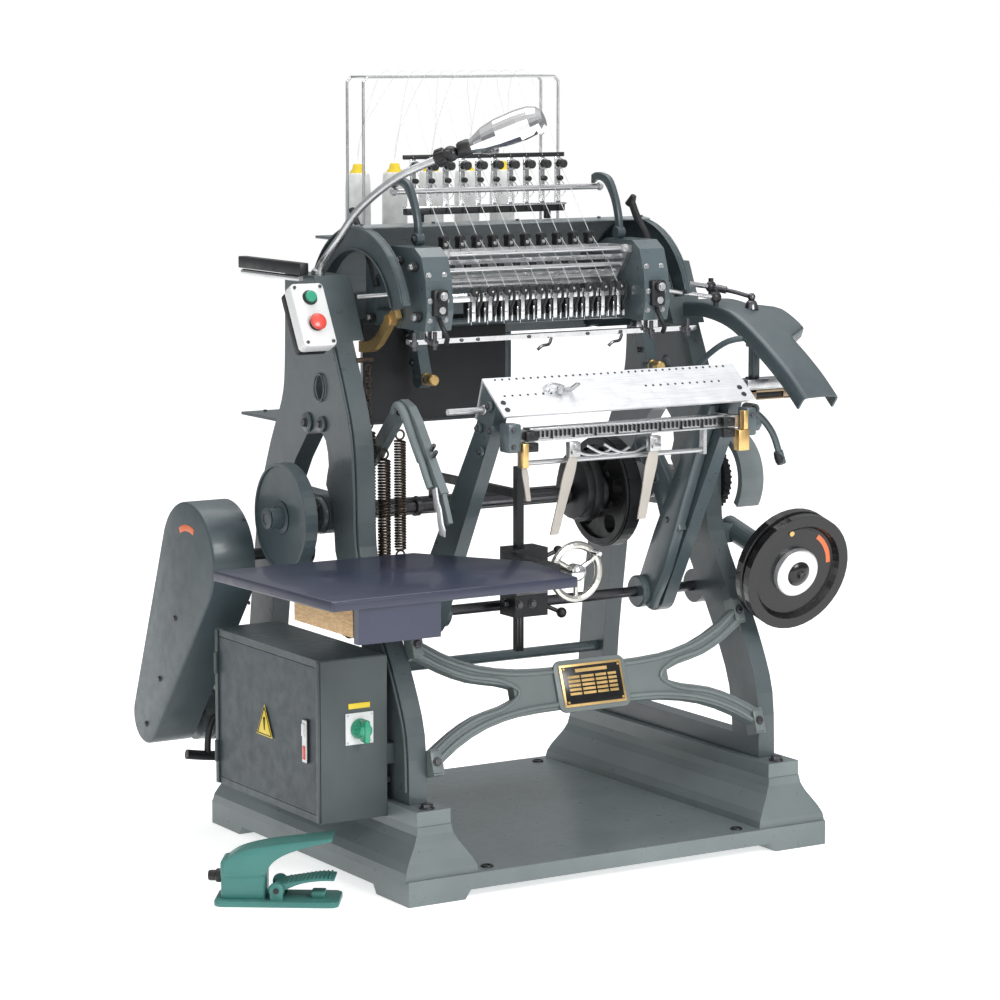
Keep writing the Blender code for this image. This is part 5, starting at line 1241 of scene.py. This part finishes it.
def makeArmCover():
    numbers = coverNumbers
    shell, joint, struts = blanks(3)
    line = flow([Vector((0, *p)) for p in numbers["line"]], 8)

    def section(k):
        point = line[k]
        ahead = (line[min(k + 1, len(line) - 1)] - line[max(k - 1, 0)]).normalized()
        down = Vector((0, ahead.z, -ahead.y))
        if down.z > 0:
            down.negate()
        bump = easeStep(point.y, 0.105, 0.14) * (1 - easeStep(point.y, 0.215, 0.262))
        right = numbers["right"] + (numbers["ear"] - numbers["right"]) * bump
        left, lip = numbers["left"], numbers["lip"]
        shape = [(left, lip), (left, 0.013), (left + 0.0015, 0.0065), (left + 0.005, 0.0022),
                 (left + 0.012, 0.0004), ((left + numbers["right"]) / 2, -0.0012),
                 (numbers["right"] - 0.012, 0.0), (right - 0.01, 0.0012),
                 (right - 0.0045, 0.003), (right - 0.0012, 0.007), (right, 0.0135), (right, lip - 0.006 * bump)]
        return [Vector((x, point.y, point.z)) + down * depth for x, depth in shape]

    verts = [shell.verts.new(p) for p in section(0)]
    edges = [shell.edges.new(pair) for pair in zip(verts, verts[1:])]
    for k in range(1, len(line)):
        verts, edges = pushEdges(shell, edges)
        before = section(k - 1)
        after = section(k)
        for vert in verts:
            nearest = min(range(len(before)), key=lambda i: (before[i] - vert.co).length)
            vert.co = after[nearest]
    bmesh.ops.recalc_face_normals(shell, faces=shell.faces)
    if sum(f.normal.z * f.calc_area() for f in shell.faces) < 0:
        bmesh.ops.reverse_faces(shell, faces=shell.faces)
    bmesh.ops.solidify(shell, geom=shell.faces[:], thickness=numbers["wall"])
    addBox(shell, (0.904, 0.136, 0.9653), (0.922, 0.154, 1.07), 0.0025)
    addBox(shell, (0.898, 0.133, 1.03), (0.926, 0.157, 1.06), 0.004)
    finishPiece("armCover", shell, "coverPaint", replaced=["arm_cover"], smoothAngle=50)
    addTurned(joint, [(0, 0.02), (0.006, 0.019), (0.0105, 0.015), (0.013, 0.008), (0.015, 0.0), (0, 0)],
              (0.958, 0.218, 1.102), toTop, 24)
    addBall(joint, (0.958, 0.218, 1.127), 0.0085)
    addTube(joint, [(0.958, 0.218, 1.127), (0.936, 0.246, 1.136), (0.905, 0.29, 1.146)], 0.0045, 10)
    addRod(joint, (0.912, 0.28, 1.1435), (0.925, 0.262, 1.1395), 0.008)
    finishPiece("coverLink", joint, "oiledSteel")
    addTube(struts, flow([(0.912, 0.15, 1.05), (0.88, 0.19, 1.04), (0.862, 0.235, 1.01),
                          (0.855, 0.275, 0.975)]), 0.0065, 10)
    finishPiece("coverStrut", struts, "castPaint")


def makeSlide():
    top, lower, dark, hub = blanks(4)
    addBox(top, (0.882, 0.122, 0.9465), (1.002, 0.168, 0.965), 0.0018)
    addBox(top, (0.885, 0.125, 0.944), (0.999, 0.165, 0.947), 0.0006)
    finishPiece("slideTop", top, "steel", "slide", ["slide_block"])
    addBox(lower, (0.885, 0.127, 0.922), (0.999, 0.163, 0.9262), 0.001)
    addBox(lower, (0.885, 0.127, 0.9375), (0.999, 0.163, 0.9442), 0.001)
    addBox(lower, (0.885, 0.131, 0.9255), (0.999, 0.159, 0.9385), 0.0005)
    for x in (0.885, 0.976):
        addBox(lower, (x, 0.127, 0.9222), (x + 0.023, 0.163, 0.944), 0.0012)
    finishPiece("slideBody", lower, "bronzeMetal", "slide")
    addBox(dark, (0.909, 0.129, 0.9275), (0.975, 0.1325, 0.9365), 0.0004)
    for x in (0.898, 0.986):
        addBolt(dark, (x, 0.145, 0.9648), toTop, 0.0055)
    addRod(dark, (0.999, 0.145, 0.95), (1.006, 0.145, 0.95), 0.0065)
    finishPiece("slideBolts", dark, "darkIron", "slide")
    addBolt(hub, (0.902, 0.13, 0.902), toFront, 0.0075)
    addTurned(hub, [(0, 0.026), (0.006, 0.0255), (0.0098, 0.022), (0.0105, 0.012), (0.009, 0.0), (0, 0)],
              (0.9635, 0.128, 0.8105), (0.33, 0, -0.944), 22)
    finishPiece("leverGrip", hub, "darkIron", "slide_lever")


def makeTripTrim():
    bolts, bar, finger = blanks(3)
    for y, z, size in ((0.4, 0.832, 0.0085), (0.285, 0.926, 0.006), (0.19, 0.838, 0.0062)):
        addBolt(bolts, (0.15, y, z), toLeft, size)
    for y, z in ((0.178, 0.86), (0.17, 0.848)):
        addRod(bolts, (0.16, y, z), (0.16, y - 0.012, z + 0.012), 0.0045)
    finishPiece("tripBolts", bolts, "oiledSteel", "trip")
    addTube(bar, flow([(0.147, 0.3, 0.925), (0.145, 0.285, 0.94), (0.145, 0.262, 0.93), (0.146, 0.226, 0.88),
                       (0.147, 0.196, 0.838)], 5), 0.0085, 14)
    addTube(bar, flow([(0.146, 0.214, 0.858), (0.144, 0.192, 0.842), (0.144, 0.172, 0.812),
                       (0.146, 0.158, 0.788)]), 0.007, 12)
    finishPiece("tripRib", bar, "leverPaint", "trip")
    outline = [(0.15, 0.786), (0.136, 0.792), (0.128, 0.764), (0.119, 0.752), (0.112, 0.724), (0.104, 0.712),
               (0.106, 0.698), (0.122, 0.7), (0.13, 0.722), (0.133, 0.742), (0.144, 0.752)]
    addPlate(finger, outline, "X", 0.1455, 0.004, 0.0006)
    finishPiece("tripFinger", finger, "saddleSheet", "trip")


# ---- castings: bolts, caps, beads and the plain plate ----

braceNumbers = {"centre": (0.135, 0.365), "lean": 18.8, "bead": 0.0048, "plate": (0.148, 0.086)}


def makeBraceTrim():
    lean = Matrix.Rotation(-math.radians(braceNumbers["lean"]), 4, "X")
    turn = Matrix.Translation((0.0, *braceNumbers["centre"])) @ lean
    beads, plate, dark, lines, bolts = blanks(5)
    topLine = [(0.104, 0.127), (0.165, 0.085), (0.24, 0.054), (0.33, 0.037), (0.42, 0.033)]
    innerLine = [(0.104, 0.106), (0.162, 0.069), (0.222, 0.043), (0.29, 0.028), (0.33, 0.0), (0.29, -0.028),
                 (0.222, -0.043), (0.162, -0.069), (0.104, -0.106)]
    for mirrorSide in (False, True):
        for line in (topLine, [(x, -z) for x, z in topLine], innerLine):
            route = [turn @ Vector((1.0 - x if mirrorSide else x, -0.0125, z)) for x, z in line]
            addTube(beads, flow(route, 5), braceNumbers["bead"], 10)
        for z in (0.117, -0.117):
            x = 1.0 - 0.1125 if mirrorSide else 0.1125
            addBox(beads, (x - 0.0115, -0.0205, z - 0.022), (x + 0.0115, -0.0155, z + 0.022), 0.002, turn)
    half = (braceNumbers["plate"][0] / 2 + 0.012, braceNumbers["plate"][1] / 2 + 0.01)
    addPlate(beads, [(0.5 + x, z) for x, z in roundedOutline(*half, 0.018)], "Y", -0.019, 0.0075, 0.0025, turn)
    finishPiece("braceBeads", beads, "bracePaint")
    width, height = braceNumbers["plate"]
    addBox(plate, (0.5 - width / 2, -0.0212, -height / 2), (0.5 + width / 2, -0.0189, height / 2), 0.0006, turn)
    finishPiece("plateBrass", plate, "brassMetal")
    addBox(dark, (0.505 - width / 2, -0.022, 0.005 - height / 2),
           (0.495 + width / 2, -0.021, height / 2 - 0.005), 0.0002, turn)
    finishPiece("plateField", dark, "blackEnamel")
    for row in range(5):
        z = 0.014 - 0.0085 * row
        for start, end in ((-0.058, -0.03), (-0.026, 0.004), (0.008, 0.034), (0.038, 0.058)):
            addBox(lines, (0.5 + start, -0.0224, z), (0.5 + end, -0.0219, z + 0.0052), 0, turn)
    addBox(lines, (0.462, -0.0224, 0.0255), (0.538, -0.0219, 0.0325), 0, turn)
    for x in (0.5 - width / 2 + 0.009, 0.5 + width / 2 - 0.009):
        for z in (-0.034, 0.034):
            addBolt(lines, turn @ Vector((x, -0.0218, z)), turn.to_3x3() @ Vector(toFront), 0.0026, 12, False)
    finishPiece("plateLines", lines, "brassMetal")
    for x in (0.1125, 0.8875):
        for z in (0.117, -0.117):
            addBolt(bolts, turn @ Vector((x, -0.0203, z)), turn.to_3x3() @ Vector(toFront), 0.0075)
    finishPiece("braceBolts", bolts, "oiledSteel")


def makeFrameTrim():
    caps, bolts, beads, anchors = blanks(4)
    for side, face in ((-1, 0.06), (1, 0.94)):
        out = (side, 0, 0)
        for y, z, r, deep in ((0.345, 0.505, 0.03, 0.008), (0.505, 0.89, 0.02, 0.004),
                              (0.443, 0.892, 0.016, 0.004)):
            addTurned(caps, [(0, deep), (r - 0.003, deep), (r, deep - 0.002), (r, -0.001), (0, -0.001)],
                      (face, y, z), out, 32)
            addBolt(bolts, (face + side * deep, y, z), out, r * 0.42)
        for y, z in ((0.48, 1.15), (0.54, 1.15), (0.48, 1.09), (0.54, 1.09)):
            addBolt(bolts, (face + side * 0.015, y, z), out, 0.008)
        for y in (0.16, 0.74):
            addBolt(bolts, (face, y + 0.02, 0.215), out, 0.01)
        for y in (0.062, 0.806):
            addBolt(bolts, (face - side * 0.02, y, 0.1748), toTop, 0.012)
    y, z = driveNumbers["cam"]
    addTurned(caps, [(0.016, 0.008), (0.034, 0.008), (0.037, 0.005), (0.0385, -0.001), (0.016, -0.001),
                     (0.016, 0.008)], (0.06, y, z), toLeft, 36)
    addTurned(caps, [(0.014, 0.006), (0.03, 0.006), (0.033, 0.003), (0.034, -0.001), (0.014, -0.001),
                     (0.014, 0.006)], (0.06, *driveNumbers["drive"]), toLeft, 36)
    addBoltCircle(bolts, 0.052, (y, z), 0.0265, 4, toLeft, 0.004, math.pi / 4)
    rim = [(0.06 - 0.0008, 0.452 + 0.0205 * math.cos(math.tau * k / 28),
            0.965 + 0.0275 * math.sin(math.tau * k / 28)) for k in range(29)]
    addTube(caps, rim, 0.0022, 8)
    finishPiece("frameCaps", caps, "framePaint")
    finishPiece("frameBolts", bolts, "oiledSteel")
    for x in (0.06, 0.94):
        edge = [(x, 0.108, 0.2), (x, 0.116, 0.31), (x, 0.158, 0.408), (x, 0.212, 0.496), (x, 0.27, 0.577),
                (x, 0.304, 0.658), (x, 0.311, 0.8), (x, 0.323, 0.888), (x, 0.36, 0.983), (x, 0.392, 1.05)]
        addTube(beads, flow(edge, 4), 0.003, 8)
    finishPiece("frameBeads", beads, "framePaint")
    for x, y in ((0.2, 0.034), (0.8, 0.034), (0.2, 0.8), (0.8, 0.8)):
        addTurned(anchors, [(0, 0.0012), (0.007, 0.0012), (0.0075, 0.0035), (0.0115, 0.0035), (0.013, 0.0),
                            (0, 0)], (x, y, 0.0499), toTop, 28)
    finishPiece("baseAnchors", anchors, "darkIron")


def makeSprings():
    dark = bmesh.new()
    for x, y, low, high, coil, wire, turns, eyes in (
            (0.187, 0.348, 0.64, 0.86, 0.0105, 0.0024, 40, (0.872, 0.628)),
            (0.158, 0.362, 0.6, 0.822, 0.0115, 0.0026, 38, (0.833, 0.588)),
            (0.128, 0.372, 0.61, 0.88, 0.0125, 0.0026, 42, (0.893, 0.598))):
        addSpring(dark, (x, y, low), (x, y, high), coil, wire, turns)
        for z in eyes:
            addRing(dark, (x, y, z), toBack, 0.0095, 0.0022, 18, 8)
    for k in range(9):
        addRing(dark, (0.128, 0.372, 0.909 + 0.0125 * k), toRight if k % 2 else toBack, 0.0062, 0.0018, 12, 6)
    for x, y, z in ((0.187, 0.348, 0.614), (0.158, 0.362, 0.575)):
        addRod(dark, (0.1003, y, z), (x + 0.008, y, z), 0.0052)
    for z in (0.585, 1.024):
        addRod(dark, (0.1003, 0.372, z), (0.138, 0.372, z), 0.0052)
    finishPiece("counterSprings", dark, "springIron")


def makeHoodTrim():
    screws, rims = blanks(2)
    for x in (0.134, 0.3, 0.5, 0.7, 0.806):
        for degrees in (-6, 45, 94):
            angle = math.radians(degrees)
            out = Vector((0, math.cos(angle), math.sin(angle)))
            addBolt(screws, Vector((x, 0.42, 1.09)) + out * 0.2005, out, 0.0038, 14, False)
    for x in (0.2845, 0.8395):
        for y, z in ((0.445, 1.005), (0.465, 1.06)):
            addBolt(screws, (x - 0.0125, y, z), toLeft, 0.0055)
    for x in (0.228, 0.7):
        for y, z in ((0.57, 1.2275), (0.638, 1.2523)):
            addRod(screws, (x, y, z), (x, y, z + 0.012), 0.007, sides=6)
    for x in (0.15, 0.32, 0.68, 0.85):
        for y in (0.58, 0.86):
            addBolt(screws, (x, y, 0.874), toTop, 0.004, 12, False)
    finishPiece("hoodScrews", screws, "oiledSteel")
    for x in (0.1255, 0.142, 0.8, 0.812):
        for radius in (0.152, 0.196):
            rim = [(x, *p) for p in arcPoints((0.42, 1.09), radius, -12, 163, 60)]
            addTube(rims, rim, 0.0022, 8)
    finishPiece("hoodRims", rims, "coverPaint")


# ---- foot switch ----

pedalNumbers = {"centre": (-0.186, 0.178, 0.0), "turn": -34.3, "size": 0.92}


def makePedal():
    place = (Matrix.Translation(pedalNumbers["centre"]) @ Matrix.Rotation(math.radians(pedalNumbers["turn"]), 4,
            "Z") @ Matrix.Scale(pedalNumbers["size"], 4))
    body, tread, dark = blanks(3)
    addPlate(body, roundedOutline(0.132, 0.056, 0.018, 7), "Z", 0.0, 0.0125, 0.003, place)
    addBox(body, (-0.118, -0.0365, 0.01), (-0.024, 0.0365, 0.072), 0.006, place)
    addBox(body, (-0.119, -0.0385, 0.056), (-0.026, 0.0385, 0.096), 0.007, place)
    roof = flow([(-0.112, 0.092), (-0.085, 0.11), (-0.045, 0.1225), (0.01, 0.132), (0.062, 0.1385),
                 (0.11, 0.1445), (0.118, 0.146)])
    under = flow([(0.118, 0.1395), (0.09, 0.1325), (0.05, 0.1215), (0.015, 0.108), (-0.01, 0.09),
                  (-0.024, 0.066)])
    addPlate(body, roof + under + [(-0.112, 0.066)], "Y", -0.0395, 0.079, 0.0035, place)
    for side in (-1, 1):
        addTurned(body, [(0, 0.007), (0.012, 0.007), (0.015, 0.004), (0.016, 0), (0, 0)],
                  place @ Vector((0.0, side * 0.0395, 0.034)), place.to_3x3() @ Vector((0, side, 0)), 26)
        addBox(body, (-0.014, side * 0.0425 - 0.0035, 0.01), (0.014, side * 0.0425 + 0.0035, 0.04), 0.002,
               place)
        addBox(body, (-0.11, side * 0.0385 - 0.0015, 0.064), (-0.034, side * 0.0385 + 0.0015, 0.07), 0.0008,
               place)
    addBox(body, (0.07, -0.02, 0.012), (0.1, 0.02, 0.026), 0.003, place)
    finishPiece("pedalHousing", body, "tealPaint", replaced=["pedal_base"], smoothAngle=50)
    tip = flow([(-0.008, 0.038), (0.01, 0.046), (0.05, 0.053), (0.09, 0.0585), (0.121, 0.0575)])
    lower = flow([(0.121, 0.0535), (0.09, 0.053), (0.05, 0.0465), (0.01, 0.03), (-0.006, 0.026)])
    addPlate(tread, tip + lower, "Y", -0.0355, 0.071, 0.0018, place)
    addRod(tread, place @ Vector((0, -0.0385, 0.034)), place @ Vector((0, 0.0385, 0.034)), 0.0092)
    for k in range(11):
        x = 0.022 + 0.0088 * k
        rise = 0.0475 + 0.0115 * easeStep(x, 0.01, 0.105)
        addBox(tread, (x, -0.0315, rise - 0.001), (x + 0.0036, 0.0315, rise + 0.0028), 0.0009, place)
    finishPiece("pedalTread", tread, "tealPaint", "treadle", ["pedal_treadle"], 50)
    addTurned(dark, [(0, 0.03), (0.0085, 0.03), (0.0105, 0.027), (0.0105, 0.016), (0.0135, 0.013),
                     (0.0135, 0.0), (0, 0)], place @ Vector((-0.116, 0.0, 0.055)),
              place.to_3x3() @ Vector(toLeft), 24)
    for side in (-1, 1):
        addBolt(dark, place @ Vector((0.0, side * 0.0465, 0.034)), place.to_3x3() @ Vector((0, side, 0)),
                0.0055, 14, False)
    finishPiece("pedalGland", dark, "blackPlastic")


for makePiece in (makeGuard, makeGears, makeCams, makeFollower, makeMotorTrim, makeArmCover, makeSlide,
                  makeTripTrim, makeBraceTrim, makeFrameTrim, makeSprings, makeHoodTrim, makePedal):
    makePiece()
print("drive, covers, castings and foot switch made")


# ---- stage, light and camera ----

stageNumbers = {"eye": (-3.136, -5.447, 1.656), "heading": 31.554, "dip": 7.811, "lens": 120.55,
                "roomLight": 0.8,
                "floorGlow": 0.62}


def makeStage():
    floor = bmesh.new()
    bmesh.ops.create_grid(floor, x_segments=1, y_segments=1, size=14.0)
    mesh = bpy.data.meshes.new("floor")
    floor.to_mesh(mesh)
    floor.free()
    plain = bpy.data.materials.new("floorWhite")
    plain.use_nodes = True
    shader = plain.node_tree.nodes["Principled BSDF"]
    shader.inputs["Base Color"].default_value = (0.86, 0.86, 0.86, 1)
    shader.inputs["Roughness"].default_value = 0.7
    shader.inputs["Emission Color"].default_value = (1.0, 1.0, 1.0, 1)
    shader.inputs["Emission Strength"].default_value = stageNumbers["floorGlow"]
    mesh.materials.append(plain)
    ground = bpy.data.objects.new("floor", mesh)
    ground.location = (0, 0, -0.0005)
    bpy.context.scene.collection.objects.link(ground)
    world = bpy.data.worlds.new("softRoom")
    world.use_nodes = True
    tree = world.node_tree
    room = tree.nodes["Background"]
    room.inputs["Strength"].default_value = stageNumbers["roomLight"]
    backdrop = addNode(tree, "ShaderNodeBackground", in_Strength=1.0)
    direction = addNode(tree, "ShaderNodeTexCoord")
    height = addNode(tree, "ShaderNodeSeparateXYZ")
    tree.links.new(direction.outputs["Generated"], height.inputs[0])
    tone = addNode(tree, "ShaderNodeValToRGB")  # darker low walls, bright soft ceiling
    ramp = tone.color_ramp
    ramp.elements[0].position = 0.48
    ramp.elements[0].color = (0.3, 0.31, 0.32, 1)
    ramp.elements[1].position = 0.86
    ramp.elements[1].color = (1.0, 1.0, 1.0, 1)
    middle = ramp.elements.new(0.62)
    middle.color = (0.42, 0.43, 0.44, 1)
    tree.links.new(spread(tree, height.outputs[2], 0.0, 1.0, -1.0, 1.0), tone.inputs[0])
    tree.links.new(tone.outputs[0], room.inputs["Color"])
    backdrop.inputs["Color"].default_value = (1.0, 1.0, 1.0, 1)
    choose = addNode(tree, "ShaderNodeMixShader")
    tree.links.new(addNode(tree, "ShaderNodeLightPath").outputs["Is Camera Ray"], choose.inputs[0])
    tree.links.new(room.outputs[0], choose.inputs[1])
    tree.links.new(backdrop.outputs[0], choose.inputs[2])
    tree.links.new(choose.outputs[0], tree.nodes["World Output"].inputs["Surface"])
    bpy.context.scene.world = world
    bpy.context.scene.view_settings.view_transform = "Standard"


def addLight(name, place, target, size, power):
    lamp = bpy.data.lights.new(name, "AREA")
    lamp.shape = "RECTANGLE"
    lamp.size, lamp.size_y = size
    lamp.energy = power
    item = bpy.data.objects.new(name, lamp)
    item.location = place
    item.rotation_euler = (Vector(target) - Vector(place)).to_track_quat("-Z", "Y").to_euler()
    bpy.context.scene.collection.objects.link(item)


def makeCamera():
    heading = math.radians(stageNumbers["heading"])
    dip = math.radians(stageNumbers["dip"])
    ahead = Vector((math.sin(heading) * math.cos(dip), math.cos(heading) * math.cos(dip), -math.sin(dip)))
    right = Vector((math.cos(heading), -math.sin(heading), 0))
    up = right.cross(ahead)
    camera = bpy.data.cameras.new("camera")
    camera.lens = stageNumbers["lens"]
    camera.sensor_width = 36
    camera.clip_end = 60
    eye = bpy.data.objects.new("camera", camera)
    eye.matrix_world = Matrix.Translation(at(*stageNumbers["eye"])) @ Matrix((right, up,
            -ahead)).transposed().to_4x4()
    bpy.context.scene.collection.objects.link(eye)
    bpy.context.scene.camera = eye


makeStage()
addLight("keyLight", (0.2, -4.4, 2.9), (0, 0, 0.8), (2.0, 1.6), 135)
addLight("fillLight", (-3.4, -2.4, 2.6), (0, 0, 0.8), (1.6, 2.2), 15)
addLight("topLight", (0.2, 0.6, 4.0), (0, 0, 0.8), (2.6, 2.6), 60)
makeCamera()
print("stage set")
